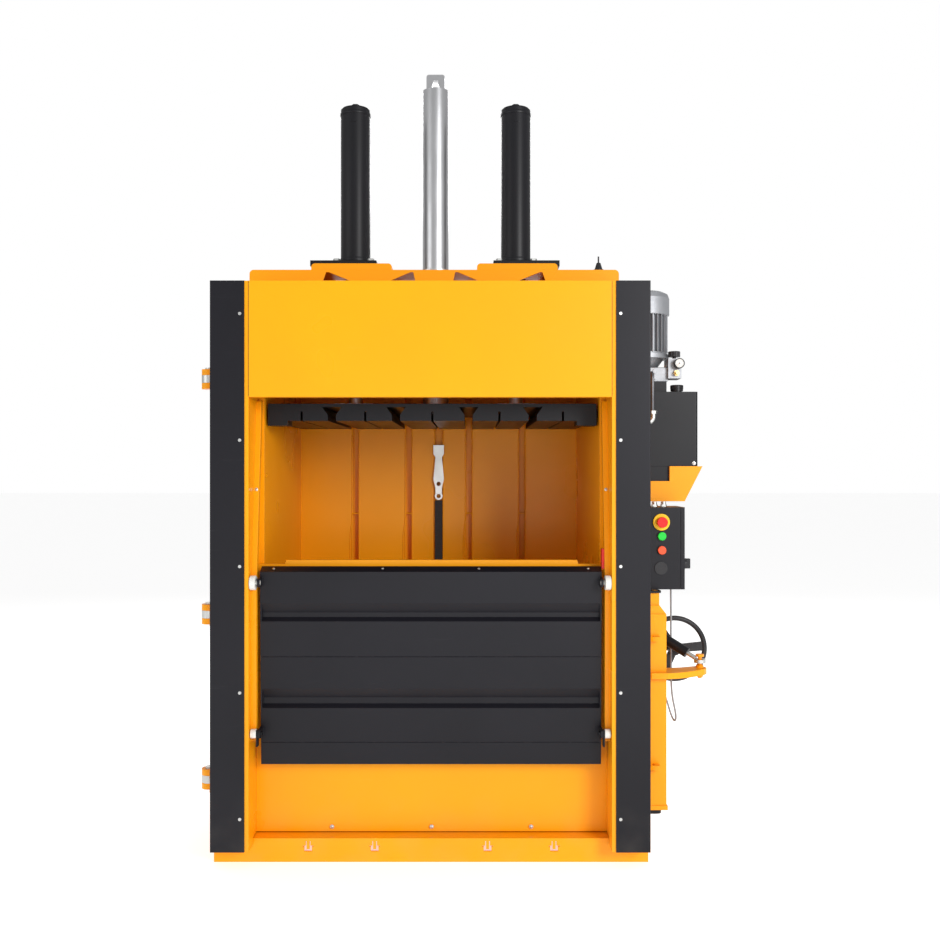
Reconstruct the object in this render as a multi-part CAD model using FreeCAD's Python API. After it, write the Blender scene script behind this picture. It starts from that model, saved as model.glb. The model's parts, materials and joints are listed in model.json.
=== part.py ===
"""Vertical recycling baler: FreeCAD source, millimetres.

Frame: X to the machine's right as the user faces it, Y away from the user, Z up.
Origin: on the ground, under the guide tube's axis.
"""
import FreeCAD, Part
import math
import os
from FreeCAD import Vector as V

os.makedirs("parts", exist_ok=True)

# ---------------------------------------------------------------- driving dimensions
CHAMBER_HALF = 600.0        # half width inside the chamber
CHAMBER_FRONT = -380.0      # front edge of the side walls' liner
CHAMBER_BACK = 400.0        # inner face of the back wall
FLOOR_TOP = 83.0            # chamber floor height
WALL = 6.0                  # wall plate thickness
RIB = 50.0                  # depth of the outer ribs
TOP_OF_DOOR = 2018.0        # top of the front door frame
WALL_TOP = 2022.0           # top of the chamber walls
BRIDGE_TOP = 2131.0         # top of the roof bridge
BRIDGE_HALF = 702.0         # half width of the roof bridge
BRIDGE_FACE = 163.0         # roof bridge face plates lie at this distance before and behind the axis
PLATE = 8.0                 # heavy plate thickness

BASE_HALF = 759.0
BASE_FRONT = -472.0
BASE_BACK = 470.0
SLOT_XS = (-430.0, -197.5, 197.5, 430.0)

POST_IN = 636.0             # inner side of the main frame's front posts
POST_OUT = 704.0
POST_FRONT = -466.0
POST_BACK = -386.0

CYL_X = 317.0               # hydraulic cylinder axis
CYL_R = 58.0
CYL_TOP = 2791.0
SADDLE_TOP = 2160.0
FLANGE_TOP = 2182.0
FLANGE_T = 22.0
ROD_R = 27.5
BOLT_PITCH = 66.0           # half pitch of the cylinder flange bolts

TUBE_R = 51.0               # guide tube radius
TUBE_TOP = 2867.0
LUG_TOP = TUBE_TOP + 65.0

PLATEN_HALF = 592.0
PLATEN_FRONT = -362.0
PLATEN_BACK = 372.0
PLATEN_BOTTOM = 1547.0
PLATEN_TOP = 1609.0
CORNER_BOTTOM = 1530.0
CHANNEL_XS = (-362.0, -131.0, 131.0, 362.0)
SLIT_XS = (-471.0, -242.0, 0.0, 242.0, 471.0)

HINGE_X = -782.0            # door hinge axis
HINGE_Y = -440.0
HINGE_ZS = (1689.0, 863.5, 285.4)
KNUCKLE_R = 27.0
KNUCKLE_H = 21.0
MIDDLE_H = 26.4
KNUCKLE_GAP = 0.3           # between stacked knuckles
PIN_R = 10.0
PIN_FIT = 0.05              # radial running clearance of hinge pins

DOOR_FRONT = -550.0
DOOR_REAR = -474.0
DOOR_BOTTOM = 62.0
DOOR_OUT = 750.0
DOOR_IN = 622.0             # inner face of the door posts, and the header's ends
COVER_OUT = 754.0
COVER_T = 4.0
HEADER_BOTTOM = 1620.0
PANEL_FRONT = -414.0
PANEL_REAR = -389.0
PANEL_TOP = 1050.0
PANEL_BOTTOM = 87.0

GATE_HALF = 594.0
GATE_T = 40.0
GATE_BOTTOM = 342.0
GATE_TOP = 1016.0
GATE_FRONT = -494.0         # front face at the gate's top edge
GATE_LEAN = 1.9             # degrees that the lowered gate leans: its foot lies further back
GUIDE_IN = 600.0
GUIDE_W = 20.0
AXLE_Z = 461.0
AXLE_Y = -520.0
ROLLER_UP_Z = 982.0
ROLLER_UP_Y = -528.0
ROLLER_UP_R = 25.0
ROLLER_LOW_R = 16.0

COLUMN_X = 792.0            # lock column axis
COLUMN_Y = -415.0
COLUMN_HALF = 35.0
ARM_Z0 = 640.0
ARM_Z1 = 661.0
TIP_X = 961.0
TIP_Y = -375.0
BARREL_FAR = V(770, -262, 800)
WHEEL = V(906, -190, 697)

TANK_X0, TANK_X1 = 716.0, 983.0
TANK_Y0, TANK_Y1 = -250.0, 150.0
TANK_Z0, TANK_Z1 = 1384.0, 1661.0
MOTOR_X, MOTOR_Y = BRIDGE_HALF + 97.0, -150.0   # clear of the roof bridge

BOX_X0, BOX_X1 = 742.0, 902.0
BOX_Y0, BOX_Y1 = -400.0, -250.0
BOX_Z0, BOX_Z1 = 944.0, 1237.0
DOOR_SEAM = 887.0           # right edge of the control box door


# ---------------------------------------------------------------- helpers
def box(x0, x1, y0, y1, z0, z1):
    """Box between two corners."""
    return Part.makeBox(x1 - x0, y1 - y0, z1 - z0, V(x0, y0, z0))


def rod(radius, start, end):
    """Cylinder of a radius from one point to another."""
    way = V(*end) - V(*start)
    return Part.makeCylinder(radius, way.Length, V(*start), way)


def ring(outer, inner, start, end):
    """Tube between two points."""
    return rod(outer, start, end).cut(rod(inner, start, end))


def prism(points, way):
    """Solid swept from a closed outline along a vector."""
    corners = [V(*p) for p in points]
    face = Part.Face(Part.makePolygon(corners + corners[:1]))
    return face.extrude(V(*way))


def outline_xz(points, y0, y1):
    """Plate whose outline is given as x, z pairs."""
    return prism([(x, y0, z) for x, z in points], (0, y1 - y0, 0))


def outline_yz(points, x0, x1):
    """Bar whose section is given as y, z pairs."""
    return prism([(x0, y, z) for y, z in points], (x1 - x0, 0, 0))


def outline_xy(points, z0, z1):
    """Plate whose outline is given as x, y pairs."""
    return prism([(x, y, z0) for x, y in points], (0, 0, z1 - z0))


def tube_box(x0, x1, y0, y1, z0, z1, wall):
    """Upright rectangular hollow section."""
    return box(x0, x1, y0, y1, z0, z1).cut(
        box(x0 + wall, x1 - wall, y0 + wall, y1 - wall, z0 - 1, z1 + 1))


def join(shapes):
    """One solid from touching or overlapping ones."""
    first = shapes[0]
    return first.fuse(shapes[1:]).removeSplitter() if len(shapes) > 1 else first


def mirror_x(shape):
    """The same piece on the machine's other side."""
    return shape.mirror(V(0, 0, 0), V(1, 0, 0))


def soften(shape, radius, wanted):
    """Round the straight edges whose middle point passes a test."""
    edges = [e for e in shape.Edges if wanted(e.CenterOfMass, e)]
    return shape.makeFillet(radius, edges) if edges else shape


def hex_head(centre, across, height, way=(0, 0, 1)):
    """Hexagon bolt head or nut standing on a point."""
    radius = across / math.sqrt(3)
    turn = [(radius * math.cos(math.radians(a)), radius * math.sin(math.radians(a)), 0)
            for a in range(0, 360, 60)]
    head = prism(turn, (0, 0, height))
    head.Placement = FreeCAD.Placement(V(*centre), FreeCAD.Rotation(V(0, 0, 1), V(*way)))
    return head


def save(name, *solids):
    """Write one node, made of one or more separate solids."""
    whole = solids[0] if len(solids) == 1 else Part.makeCompound(list(solids))
    count = len(whole.Solids)
    print(f"{name}: {count} solid(s), {whole.Volume / 1e6:.2f} litres, valid {whole.isValid()}")
    whole.exportStep(f"parts/{name}.step")


# ---------------------------------------------------------------- main frame
RIB_ZS = (300.0, 800.0, 1300.0, 1650.0, 1950.0)
RIB_HALF = 30.0
CHANNEL_W = 28.0            # strap channel in the back wall
CENTRE_W = 36.0             # ejector strap channel
CHANNEL_DEPTH = 30.0
STROKE = 560.0              # platen travel
WINDOW_BOTTOM = 2062.0      # lower edge of the roof bridge's windows
HOLE_FIT = 0.6              # clearance of cylinders and bolts in their plates
SLIDE_FIT = 0.1             # radial running clearance of rods and of the guide tube
CABLE_END = V(690, -366, 562)


def base_frame():
    """Welded base: top plate, rim, cross ribs and four strap slots in the front wall."""
    body = box(-BASE_HALF, BASE_HALF, BASE_FRONT, BASE_BACK, 0, FLOOR_TOP)
    rib_xs = (-BASE_HALF, -500.0, -250.0, 0.0, 250.0, 500.0, BASE_HALF)
    rib_half = 12.0
    for left, right in zip(rib_xs, rib_xs[1:]):
        pocket = box(left + rib_half, right - rib_half, BASE_FRONT + PLATE, BASE_BACK - PLATE,
                     -1, FLOOR_TOP - PLATE)
        body = body.cut(pocket)
    y0, y1 = BASE_FRONT - 1, BASE_FRONT + PLATE + 1
    for x in SLOT_XS:
        slot = join([box(x - 13.5, x + 13.5, y0, y1, 37, 57), box(x - 19, x + 19, y0, y1, 53.5, 57),
                     box(x - 8.5, x - 5, y0, y1, 56, 73), box(x + 5, x + 8.5, y0, y1, 56, 73)])
        body = body.cut(slot)
        body = body.fuse(box(x - 5, x + 5, BASE_FRONT, BASE_FRONT + PLATE, 45, 60))
    return body.removeSplitter()


def side_wall():
    """Right chamber wall: liner plate, front post, rear post, flange and outer ribs."""
    outer = CHAMBER_HALF + WALL
    pieces = [
        box(CHAMBER_HALF, outer, CHAMBER_FRONT, CHAMBER_BACK + WALL, FLOOR_TOP, WALL_TOP),
        box(CHAMBER_HALF, POST_OUT, POST_BACK, CHAMBER_FRONT, FLOOR_TOP, WALL_TOP),
        tube_box(POST_IN, POST_OUT, POST_FRONT, POST_BACK, FLOOR_TOP, WALL_TOP, 5),
        tube_box(outer, POST_OUT, CHAMBER_BACK - 70, CHAMBER_BACK + WALL, FLOOR_TOP, WALL_TOP, 5),
    ]
    for z in RIB_ZS:
        pieces.append(box(outer, outer + RIB, CHAMBER_FRONT, CHAMBER_BACK - 70,
                          z - RIB_HALF, z + RIB_HALF))
    return join(pieces)


def back_wall():
    """Rear plate with four strap channels and the ejector's centre channel."""
    y0, y1 = CHAMBER_BACK, CHAMBER_BACK + WALL
    plate = box(-CHAMBER_HALF, CHAMBER_HALF, y0, y1, FLOOR_TOP, WALL_TOP)
    backs, cuts = [], []
    for x in CHANNEL_XS + (0.0,):
        half = (CENTRE_W if x == 0.0 else CHANNEL_W) / 2
        low, high = FLOOR_TOP + 40, WALL_TOP - 90
        backs.append(box(x - half - 4, x + half + 4, y1, y1 + CHANNEL_DEPTH, low, high))
        cuts.append(box(x - half, x + half, y0 - 1, y1 + CHANNEL_DEPTH - 4, low + 4, high - 4))
    whole = join([plate] + backs)
    for cut in cuts:
        whole = whole.cut(cut)
    for z in (500.0, 1000.0, 1500.0):
        for left, right in ((-600, -380), (-344, -149), (-113, -22), (22, 113), (149, 344), (380, 600)):
            whole = whole.fuse(box(left, right, y1, y1 + 40, z - 20, z + 20))
    return whole.removeSplitter()


def roof_bridge():
    """Roof plate and two face plates under a top plate, with triangular windows."""
    t = PLATE
    roof = box(-BRIDGE_HALF, BRIDGE_HALF, POST_BACK, CHAMBER_BACK + WALL, WALL_TOP, WALL_TOP + t)
    face = box(-BRIDGE_HALF, BRIDGE_HALF, -BRIDGE_FACE, -BRIDGE_FACE + t, WALL_TOP + t, BRIDGE_TOP)
    face = soften(face, 16, lambda c, e: abs(abs(c.x) - BRIDGE_HALF) < 1 and abs(c.z - BRIDGE_TOP) < 1)
    for side in (-1, 1):
        for low_a, low_b, tip in ((253, 433, 406), (66, 231, 85)):
            window = outline_xz([(side * low_a, WINDOW_BOTTOM), (side * low_b, WINDOW_BOTTOM),
                                 (side * (tip + 5), BRIDGE_TOP - 9), (side * (tip - 5), BRIDGE_TOP - 9)],
                                -BRIDGE_FACE - 1, -BRIDGE_FACE + t + 1)
            face = face.cut(window)
    top = box(-BRIDGE_HALF + 16, BRIDGE_HALF - 16, -BRIDGE_FACE, BRIDGE_FACE, BRIDGE_TOP - t, BRIDGE_TOP)
    ends = [box(x - 4, x + 4, -BRIDGE_FACE, BRIDGE_FACE, WALL_TOP + t, BRIDGE_TOP - t)
            for x in (-568.0, 568.0)]
    whole = join([roof, face, face.mirror(V(0, 0, 0), V(0, 1, 0)), top] + ends)
    for x in (-CYL_X, CYL_X):
        whole = whole.cut(rod(ROD_R + 12, (x, 0, WALL_TOP - 1), (x, 0, BRIDGE_TOP + 1)))
    return whole.cut(rod(TUBE_R + 1, (0, 0, WALL_TOP - 1), (0, 0, BRIDGE_TOP + 1)))


def saddle(x):
    """Raised plate that carries one cylinder."""
    half = 154.0
    plate = box(x - half, x + half, -140, 140, BRIDGE_TOP, SADDLE_TOP)
    plate = soften(plate, 14, lambda c, e: abs(c.z - SADDLE_TOP) < 1 and abs(abs(c.x - x) - half) < 1)
    return plate.cut(rod(ROD_R + 12, (x, 0, BRIDGE_TOP - 1), (x, 0, SADDLE_TOP + 1)))


def cylinder(side):
    """Hydraulic cylinder welded to its flange plate, with a cap and a cap bolt."""
    x = side * CYL_X
    wall = 11.0
    out = sorted((x - side * 90, x + side * 166))
    flange = box(out[0], out[1], -90, 90, SADDLE_TOP, FLANGE_TOP)
    tube = rod(CYL_R, (x, 0, FLANGE_TOP - 1), (x, 0, CYL_TOP))
    cap = rod(CYL_R - 6, (x, 0, CYL_TOP), (x, 0, CYL_TOP + 6))
    cap_bolt = hex_head((x, 0, CYL_TOP + 6), 27, 18)
    whole = join([flange, tube, cap, cap_bolt])
    whole = whole.cut(rod(CYL_R - wall, (x, 0, FLANGE_TOP), (x, 0, CYL_TOP - 14)))
    whole = whole.cut(rod(ROD_R + SLIDE_FIT, (x, 0, SADDLE_TOP - 1), (x, 0, FLANGE_TOP + 1)))
    port = rod(13, (x, -CYL_R + 3, CYL_TOP - 60), (x, -CYL_R + 3, CYL_TOP - 60.5))
    return whole.cut(port).cut(flange_bolt_holes(side))


def flange_bolt_places(side):
    """Centres of one cylinder flange's bolts."""
    x = side * CYL_X
    places = [(x + dx * BOLT_PITCH, dy * BOLT_PITCH) for dx in (-1, 1) for dy in (-1, 1)]
    return places + [(x + side * 140.0, 0.0)]


def flange_bolt_holes(side):
    """Clearance holes in the flange."""
    holes = [rod(8 + HOLE_FIT, (x, y, SADDLE_TOP - 1), (x, y, FLANGE_TOP + 1))
             for x, y in flange_bolt_places(side)]
    return Part.makeCompound(holes)


def cylinder_bolts():
    """Bolts that hold both cylinder flanges down."""
    bolts = []
    for side in (-1, 1):
        for x, y in flange_bolt_places(side):
            shank = rod(8, (x, y, SADDLE_TOP), (x, y, FLANGE_TOP + 2))
            bolts.append(shank.fuse(hex_head((x, y, FLANGE_TOP), 24, 10)).removeSplitter())
    return bolts


def guide_sleeve():
    """Flanged bush that the guide tube runs in, with its two nuts."""
    flange = box(-95, 95, -75, 75, BRIDGE_TOP, BRIDGE_TOP + 14)
    collar = rod(TUBE_R + 10, (0, 0, BRIDGE_TOP + 14), (0, 0, BRIDGE_TOP + 26))
    nuts = [hex_head((x, 0, BRIDGE_TOP + 14), 24, 13) for x in (-70.0 - 8, 70.0 + 8)]
    bore = rod(TUBE_R + SLIDE_FIT, (0, 0, BRIDGE_TOP - 1), (0, 0, BRIDGE_TOP + 30))
    return join([flange, collar] + nuts).cut(bore)


def roof_plug():
    """Small black vent plug at the right end of the roof."""
    x, y, z = 632.0, -100.0, BRIDGE_TOP
    base = rod(20, (x, y, z), (x, y, z + 12))
    cone = Part.makeCone(16, 8, 26, V(x, y, z + 12))
    spike = rod(3, (x, y, z + 38), (x, y, z + 63))
    return join([base, cone, spike])


def frame_hinge_ear(z):
    """Middle knuckle and its leaf on the frame's left front post."""
    half = MIDDLE_H / 2
    knuckle = rod(KNUCKLE_R, (HINGE_X, HINGE_Y, z - half), (HINGE_X, HINGE_Y, z + half))
    leaf = box(HINGE_X, -POST_OUT, HINGE_Y - 8, HINGE_Y + 8, z - half, z + half)
    bore = rod(PIN_R + PIN_FIT, (HINGE_X, HINGE_Y, z - 99), (HINGE_X, HINGE_Y, z + 99))
    return knuckle.fuse(leaf).cut(bore)


def door_hinge_knuckle(z, side):
    """Outer knuckle and leaf on the door, above (1) or below (-1) the middle knuckle."""
    near = z + side * (MIDDLE_H / 2 + KNUCKLE_GAP)
    z0, z1 = sorted((near, near + side * KNUCKLE_H))
    knuckle = rod(KNUCKLE_R, (HINGE_X, HINGE_Y, z0), (HINGE_X, HINGE_Y, z1))
    leaf = box(HINGE_X + 14, -DOOR_OUT, -498, HINGE_Y, z0, z1)
    bore = rod(PIN_R + PIN_FIT, (HINGE_X, HINGE_Y, z0 - 1), (HINGE_X, HINGE_Y, z1 + 1))
    return knuckle.fuse(leaf).cut(bore)


def hinge_pin(z):
    """Headed pin through one hinge's three knuckles."""
    reach = MIDDLE_H / 2 + KNUCKLE_GAP + KNUCKLE_H
    shaft = rod(PIN_R, (HINGE_X, HINGE_Y, z - reach), (HINGE_X, HINGE_Y, z + reach + 1))
    head = rod(15, (HINGE_X, HINGE_Y, z + reach + KNUCKLE_GAP), (HINGE_X, HINGE_Y, z + reach + 6))
    return shaft.fuse(head)


def ejector_hook():
    """Forged hook and ring that hang in the centre channel."""
    y0, y1 = CHAMBER_BACK - 18, CHAMBER_BACK - 4
    body = outline_xz([(-23, 1478), (23, 1478), (23, 1440), (14, 1425), (23, 1330), (14, 1290),
                       (14, 1268), (-14, 1268), (-14, 1290), (-23, 1330), (-14, 1425), (-23, 1440)], y0, y1)
    hole = rod(9, (0, y0 - 1, 1310), (0, y1 + 1, 1310))
    seat = box(-12, 12, y1, CHAMBER_BACK + WALL + CHANNEL_DEPTH - 4, 1445, 1470)
    eye = ring(17, 9, (0, y0 + 3, 1257), (0, y1 - 3, 1257))
    return join([body.cut(hole), seat, eye])


def ejector_strap():
    """Webbing strap from the hook's ring down the centre channel."""
    y0 = CHAMBER_BACK - 13.0
    strap = box(-16, 16, y0, y0 + 4, FLOOR_TOP + 60, 1238)
    foot = box(-16, 16, y0 + 4, CHAMBER_BACK + WALL + CHANNEL_DEPTH - 4, FLOOR_TOP + 60, FLOOR_TOP + 80)
    return strap.fuse(foot).removeSplitter()


save("base_frame", base_frame())
right_wall = side_wall()
save("right_wall", right_wall)
save("left_wall", mirror_x(right_wall))
save("back_wall", back_wall())
save("roof_bridge", roof_bridge())
save("cylinder_saddles", saddle(-CYL_X), saddle(CYL_X))
save("cylinder_left", cylinder(-1))
save("cylinder_right", cylinder(1))
save("cylinder_bolts", *cylinder_bolts())
save("guide_sleeve", guide_sleeve())
save("roof_plug", roof_plug())
save("frame_hinge_ears", *[frame_hinge_ear(z) for z in HINGE_ZS])
save("hinge_pins", *[hinge_pin(z) for z in HINGE_ZS])
save("ejector_hook", ejector_hook())
save("ejector_strap", ejector_strap())


# ---------------------------------------------------------------- platen group
PISTON_Z = (2748.0, 2772.0)
PISTON_FIT = 0.1
CYL_WALL = 11.0
TUBE_WALL = 5.0
SKIN = 12.0                 # platen top plate


def platen():
    """Press platen: a top plate over five bars with strap gaps between them."""
    depth = (PLATEN_FRONT, PLATEN_BACK)
    under = PLATEN_TOP - SKIN
    plate = box(-PLATEN_HALF, PLATEN_HALF, depth[0], depth[1], under, PLATEN_TOP)
    edges = (-PLATEN_HALF,) + CHANNEL_XS + (PLATEN_HALF,)
    whole = [plate]
    for left, right in zip(edges, edges[1:]):
        low_l = left + (15 if left != -PLATEN_HALF else 0)
        low_r = right - (15 if right != PLATEN_HALF else 0)
        top_l = left + (35 if left != -PLATEN_HALF else 0)
        top_r = right - (35 if right != PLATEN_HALF else 0)
        whole.append(outline_xz([(low_l, PLATEN_BOTTOM), (low_r, PLATEN_BOTTOM),
                                 (low_r, PLATEN_BOTTOM + 22), (top_r, under), (top_l, under),
                                 (low_l, PLATEN_BOTTOM + 22)], *depth))
    for side in (-1, 1):
        x0, x1 = sorted((side * 521.0, side * PLATEN_HALF))
        whole.append(box(x0, x1, depth[0], depth[0] + 90, CORNER_BOTTOM, PLATEN_BOTTOM))
    whole = join(whole)
    for x in SLIT_XS:
        whole = whole.cut(box(x - 4, x + 4, depth[0] - 1, depth[1] + 1, CORNER_BOTTOM - 1, PLATEN_BOTTOM + 34))
    return whole


def piston_rod(side):
    """Piston rod with its piston and foot flange."""
    x = side * CYL_X
    shaft = rod(ROD_R, (x, 0, PLATEN_TOP), (x, 0, PISTON_Z[1]))
    piston = rod(CYL_R - CYL_WALL - PISTON_FIT, (x, 0, PISTON_Z[0]), (x, 0, PISTON_Z[1]))
    foot = box(x - 75, x + 75, -75, 75, PLATEN_TOP, PLATEN_TOP + 20)
    return join([foot, shaft, piston])


def guide_tube():
    """Chromed guide tube, closed by a plate that carries the lifting lug."""
    tube = ring(TUBE_R, TUBE_R - TUBE_WALL, (0, 0, PLATEN_TOP + 15), (0, 0, TUBE_TOP - 8))
    foot = rod(90, (0, 0, PLATEN_TOP), (0, 0, PLATEN_TOP + 15))
    top = rod(TUBE_R, (0, 0, TUBE_TOP - 8), (0, 0, TUBE_TOP))
    lug = box(-36, 36, -10, 10, TUBE_TOP, LUG_TOP)
    lug = soften(lug, 10, lambda c, e: abs(abs(c.x) - 36) < 1 and abs(c.z - LUG_TOP) < 1)
    eye = outline_xz([(-15, TUBE_TOP + 5), (15, TUBE_TOP + 5), (14, TUBE_TOP + 18), (10, TUBE_TOP + 30),
                      (10, TUBE_TOP + 42), (-10, TUBE_TOP + 42), (-10, TUBE_TOP + 30),
                      (-14, TUBE_TOP + 18)], -11, 11)
    return join([foot, tube, top, lug.cut(eye)])


save("platen", platen())
save("piston_rods", piston_rod(-1), piston_rod(1))
save("guide_tube", guide_tube())

# ---------------------------------------------------------------- front door
POST_WALL = 4.0
CHEEK_T = 6.0
SCREW_X = 651.0
SCREW_ZS = (176.0, 608.0, 1040.0, 1472.0, 1905.0)
SCREW_R = 3.0
PANEL_RAIL = 517.0
ROLLER_X = (600.0, 620.0)
GUIDE_FIT = 0.6             # gap between a roller and its guide strip
TRAVEL = 585.0              # gate travel
TILT_REACH = 77.0           # how far the gate's upper rollers move back over the travel
GUIDE_SLOPE = TILT_REACH / (TRAVEL - 4.5)
GUIDE_FRONT = ROLLER_UP_Y + ROLLER_UP_R + GUIDE_FIT
GUIDE_KNEE = ROLLER_UP_Z - 7.5
KEEPER_ZS = (330.0, 780.0)
FINGER_R0, FINGER_R1 = 56.0, 68.0
FINGER_HALF = 8.0


def door_post():
    """Right door post with its inner cheek."""
    post = tube_box(DOOR_IN, DOOR_OUT, DOOR_FRONT + COVER_T, DOOR_REAR, DOOR_BOTTOM, TOP_OF_DOOR, POST_WALL)
    caps = [box(DOOR_IN, DOOR_OUT, DOOR_FRONT + COVER_T, DOOR_REAR, z, z + POST_WALL)
            for z in (DOOR_BOTTOM, TOP_OF_DOOR - POST_WALL)]
    cheek = box(DOOR_IN, DOOR_IN + CHEEK_T, DOOR_REAR, PANEL_REAR, PANEL_BOTTOM, TOP_OF_DOOR)
    post = join([post, cheek] + caps)
    for z in SCREW_ZS:
        post = post.cut(rod(SCREW_R + 0.3, (SCREW_X, DOOR_FRONT - 1, z), (SCREW_X, DOOR_FRONT + 14, z)))
    return post


def door_frame():
    """Both door posts and the folded header plate between them."""
    right = door_post()
    front = DOOR_FRONT + 2
    header = box(-DOOR_IN, DOOR_IN, front, front + POST_WALL, HEADER_BOTTOM, TOP_OF_DOOR)
    lips = [box(-DOOR_IN, DOOR_IN, front, front + 48, z, z + POST_WALL)
            for z in (HEADER_BOTTOM, TOP_OF_DOOR - POST_WALL)]
    return join([right, mirror_x(right), header] + lips)


def post_cover():
    """Right charcoal cover, wrapped round the post's outer edge."""
    front = box(POST_IN, COVER_OUT, DOOR_FRONT, DOOR_FRONT + COVER_T, DOOR_BOTTOM, TOP_OF_DOOR)
    wrap = box(DOOR_OUT, COVER_OUT, DOOR_FRONT, DOOR_FRONT + 50, DOOR_BOTTOM, TOP_OF_DOOR)
    cover = front.fuse(wrap).removeSplitter()
    cover = soften(cover, 3, lambda c, e: abs(c.x - COVER_OUT) < 0.1 and abs(c.y - DOOR_FRONT) < 0.1)
    for z in SCREW_ZS:
        cover = cover.cut(rod(SCREW_R + 0.3, (SCREW_X, DOOR_FRONT - 1, z), (SCREW_X, DOOR_FRONT + 9, z)))
    return cover


def cover_screw(x, z):
    """Pan-head screw of a post cover."""
    head = rod(5.5, (x, DOOR_FRONT - 2.5, z), (x, DOOR_FRONT, z))
    return head.fuse(rod(SCREW_R, (x, DOOR_FRONT - 1, z), (x, DOOR_FRONT + 12, z))).removeSplitter()


def lower_panel():
    """Recessed lower panel with its raised top rail and three bolt heads."""
    skin = box(-DOOR_IN, DOOR_IN, PANEL_FRONT, PANEL_FRONT + 5, PANEL_BOTTOM, PANEL_TOP - 14)
    rear = [box(-DOOR_IN, DOOR_IN, PANEL_FRONT, PANEL_REAR, z, z + 8)
            for z in (PANEL_BOTTOM, PANEL_TOP - 22)]
    rail = outline_xz([(-DOOR_IN, PANEL_TOP - 22), (DOOR_IN, PANEL_TOP - 22), (DOOR_IN, PANEL_TOP - 14),
                       (PANEL_RAIL + 4, PANEL_TOP - 14), (PANEL_RAIL, PANEL_TOP), (-PANEL_RAIL, PANEL_TOP),
                       (-PANEL_RAIL - 4, PANEL_TOP - 14), (-DOOR_IN, PANEL_TOP - 14)], PANEL_FRONT, PANEL_REAR)
    stiff = [box(x - 20, x + 20, PANEL_FRONT + 4, PANEL_REAR, PANEL_BOTTOM, PANEL_TOP - 16)
             for x in (-480.0, -240.0, 0.0, 240.0, 480.0)]
    heads = [hex_head((x, PANEL_FRONT, PANEL_BOTTOM + 18), 13, 6, (0, -1, 0)) for x in (-353.0, 0.0, 353.0)]
    return join([skin, rail] + rear + stiff + heads)


def guide_strip():
    """Right guide strip: upright for the lower roller, inclined above its knee."""
    top = HEADER_BOTTOM - 6
    top_y = GUIDE_FRONT + (top - ROLLER_UP_Z) * GUIDE_SLOPE
    knee_y = GUIDE_FRONT - (ROLLER_UP_Z - GUIDE_KNEE) * GUIDE_SLOPE
    deep = 26.0
    section = [(knee_y, AXLE_Z - 31), (knee_y, GUIDE_KNEE), (top_y, top), (top_y + deep, top),
               (knee_y + deep, GUIDE_KNEE), (knee_y + deep, AXLE_Z - 31)]
    return outline_yz(section, GUIDE_IN + 4, DOOR_IN)


def lock_keeper():
    """Plates behind the right door post; the lock fingers pass through their slots."""
    plates = []
    for z in KEEPER_ZS:
        plate = box(734, 739, DOOR_REAR, -405, z - 30, z + 30)
        plates.append(plate.cut(box(733, 740, -463, -416, z - FINGER_HALF - 4, z + FINGER_HALF + 4)))
    return plates


cover = post_cover()
strip = guide_strip()
save("door_frame", door_frame())
save("post_covers", mirror_x(cover), cover)
save("cover_screws", *[cover_screw(side * SCREW_X, z) for side in (-1, 1) for z in SCREW_ZS])
save("lower_panel", lower_panel())
save("guide_strips", mirror_x(strip), strip)
save("door_hinge_knuckles", *[door_hinge_knuckle(z, side) for z in HINGE_ZS for side in (-1, 1)])
save("lock_keeper", *lock_keeper())
save("gate_catch", box(595.5, GUIDE_IN + 4, -482, -452, 1025, 1095))

# ---------------------------------------------------------------- sliding gate
SHEET = 3.0
GATE_SLOPE = math.tan(math.radians(GATE_LEAN))
STUB_R = 8.0
STUB_FIT = 0.08
GROOVE = 18.0               # depth of the gate's corrugations


def gate_y(z, back=0.0):
    """Y of the leaning gate's front plane at a height."""
    return GATE_FRONT + (GATE_TOP - z) * GATE_SLOPE + back


def gate_profile():
    """Front line of the corrugated gate, from foot to lip, as y, z pairs."""
    steps = [(GATE_BOTTOM, 0), (417.5, 0), (419, 1.5), (420.5, 0), (539, 0), (552, GROOVE), (573, GROOVE),
             (608, 0), (718, 0), (719.5, 1.5), (721, 0), (843, 0), (856, GROOVE), (872, GROOVE), (907, 0),
             (GATE_TOP, 0), (GATE_TOP + 16, 36)]
    return [(gate_y(z, back), z) for z, back in steps]


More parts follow.
